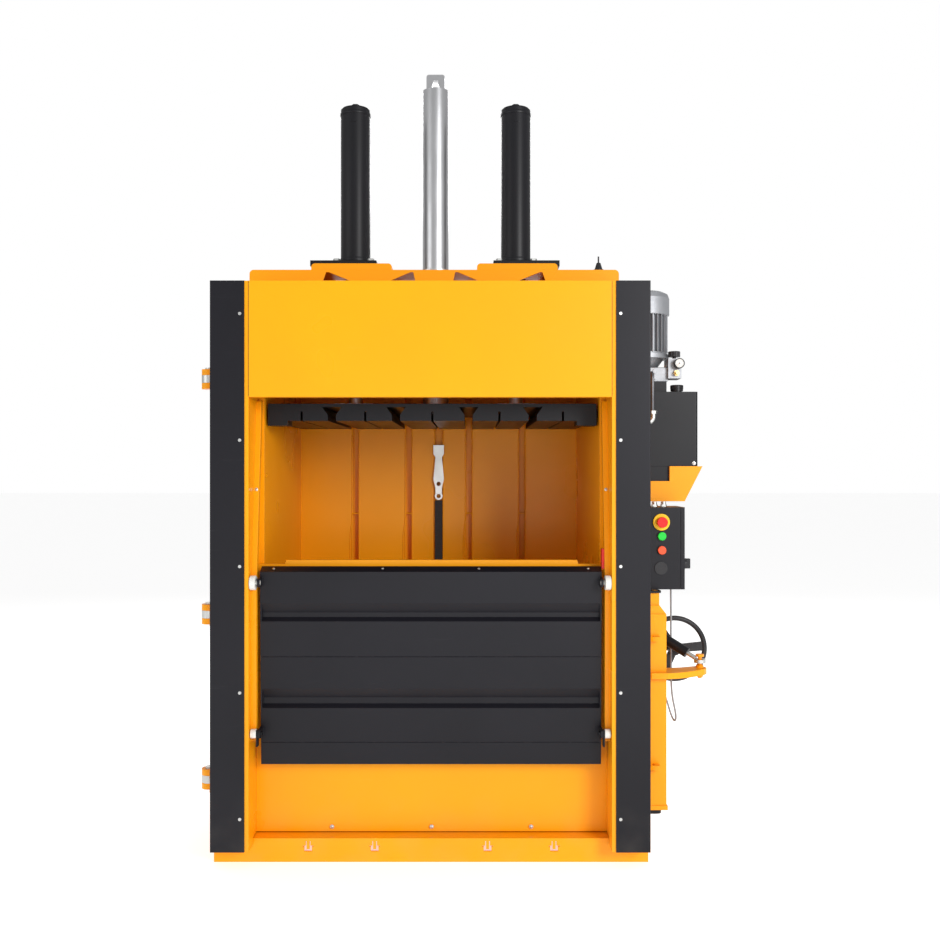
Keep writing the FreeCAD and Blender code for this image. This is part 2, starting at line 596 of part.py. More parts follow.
def gate_panel():
    """Corrugated gate of folded sheet with end caps, returns and roller tabs."""
    line = gate_profile()
    skin = outline_yz(line + [(y + SHEET, z - 0.4) for y, z in reversed(line)], -GATE_HALF, GATE_HALF)
    foot_y, lip = line[0][0], line[-1]
    back_top = gate_y(GATE_TOP, GATE_T)
    returns = [box(-GATE_HALF, GATE_HALF, foot_y, foot_y + GATE_T, GATE_BOTTOM, GATE_BOTTOM + SHEET),
               box(-GATE_HALF, GATE_HALF, lip[0], back_top + 3, lip[1] - SHEET, lip[1])]
    cap = outline_yz([(line[0][0], GATE_BOTTOM), (gate_y(GATE_TOP), GATE_TOP), lip, (back_top + 3, lip[1]),
                      (gate_y(GATE_BOTTOM, GATE_T), GATE_BOTTOM)], GATE_HALF - 5, GATE_HALF)
    ribs = [outline_yz([(gate_y(GATE_BOTTOM, GROOVE + 2), GATE_BOTTOM + 2), (gate_y(GATE_TOP, GROOVE + 2), GATE_TOP),
                        (gate_y(GATE_TOP, GATE_T), GATE_TOP), (gate_y(GATE_BOTTOM, GATE_T), GATE_BOTTOM + 2)],
                       x - 22, x + 22) for x in (-300.0, 0.0, 300.0)]
    tabs = []
    for y, z in ((ROLLER_UP_Y, ROLLER_UP_Z), (AXLE_Y, AXLE_Z)):
        tab = box(GATE_HALF - 8, GATE_HALF, y - 14, gate_y(z, 6), z - 16, z + 16)
        tabs.append(soften(tab, 12, lambda c, e, y=y: abs(c.y - (y - 14)) < 0.1 and e.Length < 9))
    side = [cap] + tabs
    whole = join([skin] + returns + ribs + side + [mirror_x(s) for s in side])
    for y, z in ((ROLLER_UP_Y, ROLLER_UP_Z), (AXLE_Y, AXLE_Z)):
        whole = whole.cut(rod(STUB_R + STUB_FIT, (-GATE_HALF - 1, y, z), (GATE_HALF + 1, y, z)))
    return whole


def roller(radius, y, z):
    """Right nylon roller with its bore."""
    wheel = rod(radius, (ROLLER_X[0], y, z), (ROLLER_X[1], y, z))
    wheel = soften(wheel, 2, lambda c, e: True if e.Length > radius * 3 else False)
    return wheel.cut(rod(STUB_R + STUB_FIT, (ROLLER_X[0] - 1, y, z), (ROLLER_X[1] + 1, y, z)))


def gate_carrier():
    """Right stub axle with its dark side plate, which slides in the post."""
    stub = rod(STUB_R, (GATE_HALF - 14, AXLE_Y, AXLE_Z), (ROLLER_X[1] + 0.8, AXLE_Y, AXLE_Z))
    plate = box(GATE_HALF + 0.4, ROLLER_X[0] - 0.4, AXLE_Y - 12, AXLE_Y + 13, AXLE_Z - 43, AXLE_Z + 14)
    return stub.fuse(plate).removeSplitter()


def journal_roller():
    """Right upper roller in one piece with the journal that turns in the gate's end tab."""
    wheel = rod(ROLLER_UP_R, (ROLLER_X[0], ROLLER_UP_Y, ROLLER_UP_Z), (ROLLER_X[1], ROLLER_UP_Y, ROLLER_UP_Z))
    wheel = soften(wheel, 2, lambda c, e: True if e.Length > ROLLER_UP_R * 3 else False)
    journal = rod(STUB_R, (GATE_HALF - 8, ROLLER_UP_Y, ROLLER_UP_Z), (ROLLER_X[0] + 1, ROLLER_UP_Y, ROLLER_UP_Z))
    return wheel.fuse(journal).removeSplitter()


upper = journal_roller()
lower = roller(ROLLER_LOW_R, AXLE_Y, AXLE_Z)
carrier = gate_carrier()
save("gate_panel", gate_panel())
save("gate_carriers", mirror_x(carrier), carrier)
save("upper_rollers", mirror_x(upper), upper)
save("lower_rollers", mirror_x(lower), lower)

# ---------------------------------------------------------------- power pack
SUMP_X = 875.0              # right side of the tank's sump
SUMP_Z = 1329.0
SHELF_T = 6.0
BRACKET_FOOT = 1254.0
BLOCK_Z = (1702.0, 1755.0)
FIN_R = 89.0
COWL_R = 95.0
COWL_Z = (1962.0, 2046.0)
SHAFT_R = 9.0
SHAFT_FIT = 0.06
KNOB_X, KNOB_Y = 903.0, -206.0
VALVE_X = (876.0, 925.0)
VALVE_Y = (-232.0, -150.0)
VALVE_Z = (1712.0, 1786.0)
PIPE_R = 7.0
PIPE_X, PIPE_Y = 810.0, -270.0
RIB_FACE = CHAMBER_HALF + WALL + RIB    # outer face of the side wall's ribs


def tank_bracket():
    """Folded bracket that carries the oil tank from the right wall."""
    y0, y1 = TANK_Y0 - 12, TANK_Y1 + 12
    side = [(RIB_FACE, BRACKET_FOOT), (931, BRACKET_FOOT), (997, TANK_Z0), (SUMP_X, TANK_Z0),
            (SUMP_X, SUMP_Z), (RIB_FACE, SUMP_Z)]
    plates = [outline_xz(side, y, y + SHELF_T) for y in (y0, y1 - SHELF_T)]
    shelves = [box(RIB_FACE, SUMP_X + SHELF_T, y0, y1, SUMP_Z - SHELF_T, SUMP_Z),
               box(SUMP_X, TANK_X1, y0, y1, TANK_Z0 - SHELF_T, TANK_Z0),
               box(SUMP_X, SUMP_X + SHELF_T, y0, y1, SUMP_Z - SHELF_T, TANK_Z0),
               box(RIB_FACE, RIB_FACE + PLATE, y0, y1, BRACKET_FOOT, SUMP_Z)]
    return join(plates + shelves)


def oil_tank():
    """Steel oil tank with a sump and the pump's raised seat."""
    tank = box(TANK_X0, TANK_X1, TANK_Y0, TANK_Y1, TANK_Z0, TANK_Z1)
    tank = soften(tank, 10, lambda c, e: abs(c.z - (TANK_Z0 + TANK_Z1) / 2) < 1)
    sump = box(TANK_X0, SUMP_X, TANK_Y0 + 1, TANK_Y1 - 1, SUMP_Z, TANK_Z0 + 20)
    seat = box(722, 871, -225, -85, TANK_Z1, BLOCK_Z[0])
    return join([tank, sump, seat])


def filler_cap():
    """Ribbed breather cap on the tank's filler neck."""
    x, y = 916.0, -190.0
    neck = rod(19, (x, y, TANK_Z1), (x, y, TANK_Z1 + 6))
    cap = rod(23.5, (x, y, TANK_Z1 + 6), (x, y, TANK_Z1 + 29))
    return neck.fuse(soften(cap, 3, lambda c, e: abs(c.z - TANK_Z1 - 29) < 0.1)).removeSplitter()


def motor_housing():
    """Finned motor body with end shields and a terminal box."""
    x, y, z0, z1 = MOTOR_X, MOTOR_Y, 1806.0, COWL_Z[0]
    body = [rod(72, (x, y, z0), (x, y, z1)), rod(84, (x, y, z0), (x, y, z0 + 8)),
            rod(COWL_R - 2.1, (x, y, z1 - 8), (x, y, z1 + 5))]
    for i in range(28):
        fin = box(x + 66, x + FIN_R, y - 1.6, y + 1.6, z0 + 6, z1 - 6)
        fin.rotate(V(x, y, 0), V(0, 0, 1), i * 360 / 28)
        body.append(fin)
    body.append(box(x - 40, x + 40, y + 80, y + 130, z0 + 40, z0 + 120))
    body.append(box(x - 20, x + 20, y + 66, y + 84, z0 + 50, z0 + 110))
    return join(body).cut(rod(SHAFT_R + SHAFT_FIT, (x, y, z1 - 40), (x, y, z1 + 6)))


def fan_cowl():
    """Pressed fan cowl, open below, with radial air slots in its domed top."""
    z0, z1 = COWL_Z
    r, t = COWL_R, 2.0
    half = [V(r - t, 0, z0 - 6), V(r, 0, z0 - 6), V(r, 0, z1 - 28), V(r - 6, 0, z1 - 12), V(r - 24, 0, z1 - 3),
            V(r - 45, 0, z1), V(0, 0, z1), V(0, 0, z1 - t), V(r - 45.4, 0, z1 - t), V(r - 24.8, 0, z1 - t - 3),
            V(r - 7.6, 0, z1 - t - 11.4), V(r - t, 0, z1 - 28.6)]
    shell = Part.Face(Part.makePolygon(half + half[:1])).revolve(V(0, 0, 0), V(0, 0, 1), 360)
    for i in range(12):
        slot = box(16, 52, -3, 3, z1 - 6, z1 + 2)
        slot.rotate(V(0, 0, 0), V(0, 0, 1), i * 30)
        shell = shell.cut(slot)
    shell.translate(V(MOTOR_X, MOTOR_Y, 0))
    return shell


def cooling_fan():
    """Fan hub and blades on the motor's shaft end."""
    x, y, z0 = MOTOR_X, MOTOR_Y, COWL_Z[0] + 14
    parts = [rod(SHAFT_R, (x, y, COWL_Z[0] - 38), (x, y, z0 + 42)), rod(22, (x, y, z0), (x, y, z0 + 30)),
             rod(70, (x, y, z0), (x, y, z0 + 3))]
    for i in range(8):
        blade = box(x + 15, x + 80, y - 1.5, y + 1.5, z0, z0 + 30)
        blade.rotate(V(x, y, 0), V(0, 0, 1), i * 45)
        parts.append(blade)
    return join(parts)


def motor_bell():
    """Cast bell between motor and pump block."""
    x, y = MOTOR_X, MOTOR_Y
    disc = rod(93, (x, y, 1790), (x, y, 1806))
    cone = Part.makeCone(48, 74, 35, V(x, y, BLOCK_Z[1]))
    return disc.fuse(cone).removeSplitter()


def pump_block():
    """Machined manifold under the bell and the valve block beside it."""
    block = box(730, VALVE_X[0] + 1, -215, -95, *BLOCK_Z)
    block = soften(block, 3, lambda c, e: abs(c.z - BLOCK_Z[1]) < 0.1 and abs(c.y + 215) < 0.1)
    valve = box(VALVE_X[0], VALVE_X[1], VALVE_Y[0], VALVE_Y[1], *VALVE_Z)
    plugs = [rod(9, (x, -219, z), (x, -215, z)) for x in (756.0, 830.0) for z in (1718.0, 1740.0)]
    bore = rod(7 + SHAFT_FIT, (KNOB_X, KNOB_Y, VALVE_Z[1] - 22), (KNOB_X, KNOB_Y, VALVE_Z[1] + 1))
    return join([block, valve] + plugs).cut(bore)


def relief_knob():
    """Black adjusting knob on its stem."""
    x, y, z = KNOB_X, KNOB_Y, VALVE_Z[1]
    stem = rod(7, (x, y, z - 21), (x, y, z + 9))
    knob = soften(rod(22.5, (x, y, z + 8), (x, y, z + 29)), 3, lambda c, e: abs(c.z - z - 29) < 0.1)
    for i in range(12):
        notch = rod(3, (x + 23.5, y, z + 7), (x + 23.5, y, z + 30))
        notch.rotate(V(x, y, 0), V(0, 0, 1), i * 30)
        knob = knob.cut(notch)
    return stem.fuse(knob).removeSplitter()


def pressure_gauge():
    """Round gauge on the valve block's front, with its stem."""
    x, z, y = 913.0, 1766.0, VALVE_Y[0]
    case = rod(19, (x, y - 27, z), (x, y - 6, z))
    recess = rod(16, (x, y - 28, z), (x, y - 25, z))
    return case.cut(recess).fuse(rod(6, (x, y - 7, z), (x, y, z))).removeSplitter()


def hose_fitting():
    """Brass elbow nipple on the valve block."""
    x, z, y = 905.0, 1731.0, VALVE_Y[0]
    nut = hex_head((x, y, z), 20, 12, (0, -1, 0))
    return nut.fuse(rod(6.5, (x, y - 26, z), (x, y - 11, z))).removeSplitter()


def arc_route(points, radius_of):
    """Wire of straight runs joined by tangent arcs; radius_of gives each corner's radius."""
    edges, last = [], points[0]
    for before, corner, after in zip(points, points[1:], points[2:]):
        way_in, way_out = (corner - before), (after - corner)
        turn = way_in.getAngle(way_out)
        shorter = min(way_in.Length, way_out.Length)
        radius = radius_of(shorter, turn)
        back = radius * math.tan(turn / 2)
        start = corner - way_in.normalize() * back
        end = corner + way_out.normalize() * back
        centre_way = (way_out - way_in).normalize()
        middle = corner + centre_way * (radius / math.cos(turn / 2) - radius)
        edges.append(Part.LineSegment(last, start).toShape())
        edges.append(Part.Arc(start, middle, end).toShape())
        last = end
    edges.append(Part.LineSegment(last, points[-1]).toShape())
    return Part.Wire(edges)


def swept(wire, radius, start, way):
    """Round bar along a wire."""
    section = Part.Wire([Part.makeCircle(radius, start, way)])
    return wire.makePipeShell([section], True, False)


def oil_pipe():
    """Pressure pipe from the pump block, down the tank's front and into the wall."""
    points = [V(PIPE_X, -215, 1730), V(PIPE_X, PIPE_Y, 1730), V(PIPE_X, PIPE_Y, 1545),
              V(CHAMBER_HALF + WALL, PIPE_Y, 1545)]
    wire = arc_route(points, lambda shorter, turn: 22.0)
    return swept(wire, PIPE_R, points[0], V(0, -1, 0))


save("tank_bracket", tank_bracket())
save("oil_tank", oil_tank())
save("filler_cap", filler_cap())
save("motor_housing", motor_housing())
save("fan_cowl", fan_cowl())
save("cooling_fan", cooling_fan())
save("motor_bell", motor_bell())
save("pump_block", pump_block())
save("relief_knob", relief_knob())
save("pressure_gauge", pressure_gauge())
save("hose_fitting", hose_fitting())
save("oil_pipe", oil_pipe())

# ---------------------------------------------------------------- control box
DOOR_T = 8.0
BOX_WALL = 3.0
BUTTON_X = 820.0
BUTTON_STEM = 8.0
BUTTON_FIT = 0.1
BUTTONS = {"e_stop": (818.0, 1184.0), "green": (BUTTON_X, 1134.0), "red": (BUTTON_X, 1084.0)}
SWITCH_Y, SWITCH_Z = -325.0, 1030.0
CABLE_X, CABLE_Y = 877.0, -275.0
CABLE_R = 3.3
GLAND_H = 14.0


def control_box():
    """Sheet steel control box, open at the front, on two mounting rails."""
    y0 = BOX_Y0 + DOOR_T
    body = box(BOX_X0, BOX_X1, y0, BOX_Y1, BOX_Z0, BOX_Z1)
    body = body.cut(box(BOX_X0 + BOX_WALL, DOOR_SEAM - 6, y0 - 1, BOX_Y1 - BOX_WALL,
                        BOX_Z0 + BOX_WALL, BOX_Z1 - BOX_WALL))
    strip_front = box(DOOR_SEAM + 1, BOX_X1, BOX_Y0, y0, BOX_Z0, BOX_Z1)
    rails = [box(POST_OUT, BOX_X0, -430, -270, z - 20, z + 20) for z in (1000.0, 1180.0)]
    return join([body, strip_front] + rails)


def box_door():
    """Control box door with its push-button holes."""
    door = box(BOX_X0 + 2, DOOR_SEAM, BOX_Y0, BOX_Y0 + DOOR_T - 0.3, BOX_Z0, BOX_Z1)
    door = soften(door, 2, lambda c, e: abs(c.y - BOX_Y0) < 0.1 and abs(c.x - BOX_X0 - 2) < 0.1)
    for x, z in BUTTONS.values():
        door = door.cut(rod(BUTTON_STEM + BUTTON_FIT, (x, BOX_Y0 - 1, z), (x, BOX_Y0 + DOOR_T, z)))
    return door


def push_button(place, radius, proud, gap):
    """Push button: a cap in front of the door and a stem through it."""
    x, z = place
    y = BOX_Y0
    cap = rod(radius, (x, y - proud, z), (x, y - gap, z))
    cap = soften(cap, 2, lambda c, e: abs(c.y - y + proud) < 0.1)
    return cap.fuse(rod(BUTTON_STEM, (x, y - gap - 1, z), (x, y + 30, z))).removeSplitter()


def e_stop_collar():
    """Yellow collar plate round the stop button's stem."""
    x, z = BUTTONS["e_stop"]
    collar = rod(30, (x, BOX_Y0 - 7, z), (x, BOX_Y0, z))
    collar = soften(collar, 2, lambda c, e: abs(c.y - BOX_Y0 + 7) < 0.1)
    return collar.cut(rod(BUTTON_STEM + BUTTON_FIT, (x, BOX_Y0 - 8, z), (x, BOX_Y0 + 1, z)))


def gland(start, end):
    """Cable gland: a hexagon and a rounded nut along one line."""
    way = V(*end) - V(*start)
    middle = V(*start) + way * 0.4
    return hex_head(start, 22, way.Length * 0.4, way).fuse(rod(9.5, middle, end)).removeSplitter()


def cable_glands():
    """Top glands, the switch cable's gland below the box and the one where it ends."""
    tops = [gland((x, -320, BOX_Z1), (x, -320, BOX_Z1 + 18)) for x in (775.0, 808.0, 841.0)]
    outlet = gland((CABLE_X, CABLE_Y, BOX_Z0), (CABLE_X, CABLE_Y, BOX_Z0 - GLAND_H))
    end = gland((CABLE_END.x, CHAMBER_FRONT, CABLE_END.z), (CABLE_END.x, CABLE_END.y, CABLE_END.z))
    return tops + [outlet, end]


def main_switch_base():
    """Round-cornered base of the rotary main switch."""
    base = box(BOX_X1, BOX_X1 + 12, SWITCH_Y - 21, SWITCH_Y + 21, SWITCH_Z - 21, SWITCH_Z + 21)
    base = soften(base, 4, lambda c, e: abs(e.Length - 12) < 0.1)
    return base.cut(rod(6 + SHAFT_FIT, (BOX_X1 - 1, SWITCH_Y, SWITCH_Z), (BOX_X1 + 13, SWITCH_Y, SWITCH_Z)))


def main_switch_handle():
    """Rotary handle with a grip bar and its shaft."""
    x = BOX_X1 + 12.3
    disc = rod(19, (x, SWITCH_Y, SWITCH_Z), (x + 8, SWITCH_Y, SWITCH_Z))
    grip = box(x + 7, x + 23, SWITCH_Y - 6, SWITCH_Y + 6, SWITCH_Z - 18, SWITCH_Z + 18)
    grip = soften(grip, 3, lambda c, e: abs(c.x - x - 23) < 0.1)
    shaft = rod(6, (BOX_X1 + 0.3, SWITCH_Y, SWITCH_Z), (x + 1, SWITCH_Y, SWITCH_Z))
    return join([disc, grip, shaft])


save("control_box", control_box())
save("box_door", box_door())
save("e_stop_collar", e_stop_collar())
save("e_stop_button", push_button(BUTTONS["e_stop"], 19, 28, 12))
save("green_button", push_button(BUTTONS["green"], 15, 9, 2))
save("red_button", push_button(BUTTONS["red"], 15, 9, 2))
save("buzzer", rod(22.5, (817, BOX_Y0 - 4, 1020), (817, BOX_Y0, 1020)))
save("main_switch_base", main_switch_base())
save("main_switch_handle", main_switch_handle())
save("cable_glands", *cable_glands())

# ---------------------------------------------------------------- door lock
COLUMN_Z0, COLUMN_Z1 = 190.0, 863.0
BLOCK_TOP = 936.0
PIVOT_R = 10.0
FINGER_REST = 222.5         # angle of the released finger's tip, degrees from +X
LOCK_TIP = V(TIP_X, TIP_Y, 685)
BARREL_TILT_AXIS = V(0.4995, -0.0364, 0.8655)   # normal to the plane that the rod's end travels in
BARREL_R = 18.5
BARREL_SHARE = 0.79         # share of the pivot distance that the barrel covers
LOCK_ROD_R = 8.0
TIP_BOLT_R = 7.0
EYE_GAP = 7.0               # clearance in the opened pivot at the arm's tip


def ring_sector(r0, r1, a0, a1, z0, z1):
    """Part of a flat ring about the column axis, between two angles."""
    steps = 8
    angles = [math.radians(a0 + (a1 - a0) * i / steps) for i in range(steps + 1)]
    outer = [(COLUMN_X + r1 * math.cos(a), COLUMN_Y + r1 * math.sin(a)) for a in angles]
    inner = [(COLUMN_X + r0 * math.cos(a), COLUMN_Y + r0 * math.sin(a)) for a in reversed(angles)]
    return outline_xy(outer + inner, z0, z1)


def lock_column():
    """Turning lock column with its arm and end pivots."""
    x, y, h = COLUMN_X, COLUMN_Y, COLUMN_HALF
    tube = tube_box(x - h, x + h, y - h, y + h, COLUMN_Z0, COLUMN_Z1, 6)
    foot = box(x - h - 4, x + h + 4, y - h - 4, y + h + 4, COLUMN_Z0 - 15, COLUMN_Z0)
    lid = box(x - h, x + h, y - h, y + h, COLUMN_Z1 - 6, COLUMN_Z1)
    taper = outline_xz([(x - h, COLUMN_Z1), (x + h, COLUMN_Z1), (x + 12, COLUMN_Z1 + 30), (x - h, COLUMN_Z1 + 30)],
                       y - 30, y + 30)
    block = box(x - h + 6, x + 12, y - 22, y + 22, COLUMN_Z1 + 30, BLOCK_TOP)
    pins = [rod(PIVOT_R, (x, y, COLUMN_Z0 - 31), (x, y, COLUMN_Z0 - 10)),
            rod(PIVOT_R, (x, y, BLOCK_TOP - 1), (x, y, BLOCK_TOP + 7))]
    arm = outline_xy([(770, -478), (827, -480), (868, -469), (905, -452), (943, -427), (972, -403), (983, -385),
                      (983, -366), (972, -352), (950, -349), (925, -360), (890, -374), (850, -381),
                      (x + h, -380), (x - h + 2, -376), (760, -420), (762, -470)], ARM_Z0, ARM_Z1)
    arm = arm.cut(box(x - h + 6, x + h - 6, y - h + 6, y + h - 6, ARM_Z0 - 1, ARM_Z1 + 1))
    spacer = rod(13, (TIP_X, TIP_Y, ARM_Z1), (TIP_X, TIP_Y, ARM_Z1 + 9))
    bolt = rod(TIP_BOLT_R, (TIP_X, TIP_Y, ARM_Z0 - 16), (TIP_X, TIP_Y, ARM_Z1 + 40))
    head = hex_head((TIP_X, TIP_Y, ARM_Z1 + 40), 26, 8)
    nut = hex_head((TIP_X, TIP_Y, ARM_Z0 - 11), 22, 11)
    drain = rod(6, (x + 20, y + 20, COLUMN_Z0 - 16), (x + 20, y + 20, COLUMN_Z0 + 1))
    return join([tube, foot, lid, taper, block, arm, spacer, bolt, head, nut] + pins).cut(drain)


def lock_finger(z):
    """Curved finger on the column's front face."""
    low, high = z - FINGER_HALF, z + FINGER_HALF
    hook = ring_sector(FINGER_R0, FINGER_R1, FINGER_REST, 275, low, high)
    root = box(COLUMN_X - 10, COLUMN_X + 8, COLUMN_Y - FINGER_R0 - 3, COLUMN_Y - COLUMN_HALF, low, high)
    return hook.fuse(root).removeSplitter()


def lock_brackets():
    """Pivot plates of the column and the lock cylinder's tilted pivot bracket."""
    x, y = COLUMN_X, COLUMN_Y
    plates = []
    for z0, z1 in ((COLUMN_Z0 - 31, COLUMN_Z0 - 15.3), (BLOCK_TOP + 0.3, BLOCK_TOP + 7)):
        plate = box(POST_OUT, x + 20, y - 30, y + 30, z0, z1)
        plate = soften(plate, 18, lambda c, e: abs(c.x - x - 20) < 0.1 and e.Length < 20)
        plates.append(plate.cut(rod(PIVOT_R + PIN_FIT, (x, y, z0 - 1), (x, y, z1 + 1))))
    up, far = BARREL_TILT_AXIS, BARREL_FAR
    seat = box(RIB_FACE, 778, -292, -232, 745, 772)
    post = rod(11, far - up * 40, far - up * 11.3)
    pin = rod(8, far - up * 40, far + up * 14)
    cap = rod(12, far + up * 11.3, far + up * 15)
    wall_plate = box(RIB_FACE, RIB_FACE + PLATE, -292, -232, 745, 830)
    return plates + [join([seat, post, pin, cap, wall_plate])]


def lock_barrel():
    """Lock cylinder barrel with its pivot eye."""
    way = (LOCK_TIP - BARREL_FAR)
    reach = way.Length
    way.normalize()
    up, far = BARREL_TILT_AXIS, BARREL_FAR
    end = far + way * (reach * BARREL_SHARE)
    tube = rod(BARREL_R, far + way * 22, end)
    eye = rod(17, far - up * 11, far + up * 11)
    neck = rod(10, far + way * 12, far + way * 26)
    whole = join([tube, eye, neck]).cut(rod(8 + PIN_FIT, far - up * 12, far + up * 12))
    return whole.cut(rod(LOCK_ROD_R + SLIDE_FIT, far + way * 60, end + way))


def lock_rod():
    """Lock cylinder rod with the eye that stands round the arm's tip bolt."""
    way = (LOCK_TIP - BARREL_FAR)
    reach = way.Length
    way.normalize()
    shaft = rod(LOCK_ROD_R, BARREL_FAR + way * 64, BARREL_FAR + way * (reach - 16))
    eye = ring(TIP_BOLT_R + EYE_GAP + 7, TIP_BOLT_R + EYE_GAP, (TIP_X, TIP_Y, LOCK_TIP.z - 6),
               (TIP_X, TIP_Y, LOCK_TIP.z + 6))
    hole = rod(TIP_BOLT_R + EYE_GAP, (TIP_X, TIP_Y, LOCK_TIP.z - 20), (TIP_X, TIP_Y, LOCK_TIP.z + 20))
    return shaft.cut(hole).fuse(eye).removeSplitter()


def wheel_bracket():
    """Bracket and axle that carry the handwheel from the right wall."""
    x, y, z = WHEEL.x, WHEEL.y, WHEEL.z
    plate = box(RIB_FACE, RIB_FACE + PLATE, y + 50, y + 90, z - 17, 830)
    arm = box(RIB_FACE, x + 20, y + 50, y + 90, z - 17, z + 17)
    collar = rod(16, (x, y + 16.3, z), (x, y + 51, z))
    axle = rod(PIVOT_R, (x, y - 24, z), (x, y + 51, z))
    nut = rod(15, (x, y - 24, z), (x, y - 16.3, z))
    return join([plate, arm, collar, axle, nut])


def handwheel():
    """Handwheel: round rim, three flat spokes and a bored hub."""
    x, y, z = WHEEL.x, WHEEL.y, WHEEL.z
    rim = Part.makeTorus(114.5, 9.5, V(x, y, z), V(0, 1, 0))
    hub = rod(24, (x, y - 16, z), (x, y + 16, z))
    parts = [rim, hub]
    for angle in (5, 125, 245):
        spoke = outline_xz([(x + 10, z - 15), (x + 114, z - 17), (x + 114, z + 17), (x + 10, z + 15)], y - 5, y + 5)
        spoke.rotate(V(x, y, z), V(0, -1, 0), angle)
        parts.append(spoke)
    return join(parts).cut(rod(PIVOT_R + PIN_FIT, (x, y - 17, z), (x, y + 17, z)))


save("lock_brackets", *lock_brackets())
save("lock_column", lock_column())
save("lock_fingers", *[lock_finger(z) for z in KEEPER_ZS])
save("lock_barrel", lock_barrel())
save("lock_rod", lock_rod())
save("wheel_bracket", wheel_bracket())
save("handwheel", handwheel())

# ---------------------------------------------------------------- switch cable
# It hangs from the control box, makes one narrow loop and goes back to the wall behind the column.
ROUTE = [
    V(CABLE_X, CABLE_Y, BOX_Z0 - GLAND_H),
    V(877.6, -275.6, 850), V(876.9, -276.6, 768), V(877.8, -276.2, 686), V(877.2, -277.0, 610),
    V(879.0, -277.8, 560), V(884.0, -279.0, 522), V(889.5, -279.6, 496), V(893.5, -280.3, 476),
    V(895.0, -280.0, 456), V(894.5, -266.0, 442), V(892.0, -246.0, 442), V(887.0, -232.0, 456),
    V(880.0, -230.5, 478), V(872.0, -234.0, 505), V(860.0, -243.0, 536), V(840.0, -259.0, 566),
    V(808.0, -280.0, 587), V(770.0, -298.0, 595), V(734.0, -309.0, 592), V(708.0, -321.0, 583),
    V(694.5, -335.0, 574), V(690.0, -350.5, 562), CABLE_END]


def cable_radius(shorter, turn):
    """Largest tangent arc that two runs allow."""
    return 0.45 * shorter / math.tan(turn / 2)


def switch_cable():
    """Thin grey cable as one round bar along its route."""
    wire = arc_route(ROUTE, cable_radius)
    cable = swept(wire, CABLE_R, ROUTE[0], ROUTE[1] - ROUTE[0])
    radii = []
    for before, corner, after in zip(ROUTE, ROUTE[1:], ROUTE[2:]):
        turn = (corner - before).getAngle(after - corner)
        radii.append(round(cable_radius(min((corner - before).Length, (after - corner).Length), turn), 1))
    print("cable arc radii, mm:", radii)
    print(f"cable length {wire.Length:.1f} mm, volume over section times length "
          f"{cable.Volume / (math.pi * CABLE_R ** 2 * wire.Length):.4f}")
    return cable


save("switch_cable", switch_cable())
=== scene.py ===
# %% [markdown]
# # A recycling baler, from imported model to finished picture
# The imported model brings every working part in its place, in metres. This lesson gives
# those parts their finishes, and adds the small parts that make a machine look real:
# screws, rivets, weld beads, dial and button rims.

# %% Load the machine
import json
import math
import bmesh
import bpy
from mathutils import Matrix, Vector


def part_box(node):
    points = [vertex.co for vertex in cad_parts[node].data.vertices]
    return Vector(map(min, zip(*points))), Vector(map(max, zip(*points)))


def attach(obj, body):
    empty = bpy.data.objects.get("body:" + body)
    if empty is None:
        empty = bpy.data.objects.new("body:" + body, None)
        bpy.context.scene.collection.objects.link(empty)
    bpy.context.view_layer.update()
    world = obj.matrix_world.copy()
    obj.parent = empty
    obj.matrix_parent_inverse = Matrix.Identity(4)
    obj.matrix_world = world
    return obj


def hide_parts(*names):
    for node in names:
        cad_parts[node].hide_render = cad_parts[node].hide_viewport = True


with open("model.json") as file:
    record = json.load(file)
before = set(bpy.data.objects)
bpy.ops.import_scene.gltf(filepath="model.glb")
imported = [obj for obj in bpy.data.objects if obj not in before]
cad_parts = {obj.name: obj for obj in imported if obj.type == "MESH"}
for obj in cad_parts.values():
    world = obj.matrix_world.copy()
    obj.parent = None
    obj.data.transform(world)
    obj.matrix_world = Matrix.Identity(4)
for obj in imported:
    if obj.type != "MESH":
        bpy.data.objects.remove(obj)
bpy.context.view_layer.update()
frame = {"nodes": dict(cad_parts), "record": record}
nodes = frame["nodes"]

# %% [markdown]
# ## The camera
# The camera stands level with the top of the doors, four metres in front of the machine
# and a little to its right. A level camera keeps the tall posts upright in the picture.

# %% Camera
scene = bpy.context.scene
lens = bpy.data.cameras.new("front_camera")
lens.lens = 38.79
lens.clip_end = 60
camera = bpy.data.objects.new("front_camera", lens)
camera.location = (0.136, -4.012, 1.370)
camera.rotation_euler = (math.radians(90), 0, 0)
scene.collection.objects.link(camera)
scene.camera = camera
print("camera", tuple(round(v, 3) for v in camera.location), "lens", lens.lens)

# %% [markdown]
# ## The lock switch's cable
# A thin grey cable leaves a gland under the control box, hangs down, turns round in a
# narrow loop and climbs over to the lock. Its line is a NURBS curve: the points pull the
# curve towards them, so it bends smoothly as a real cable does.

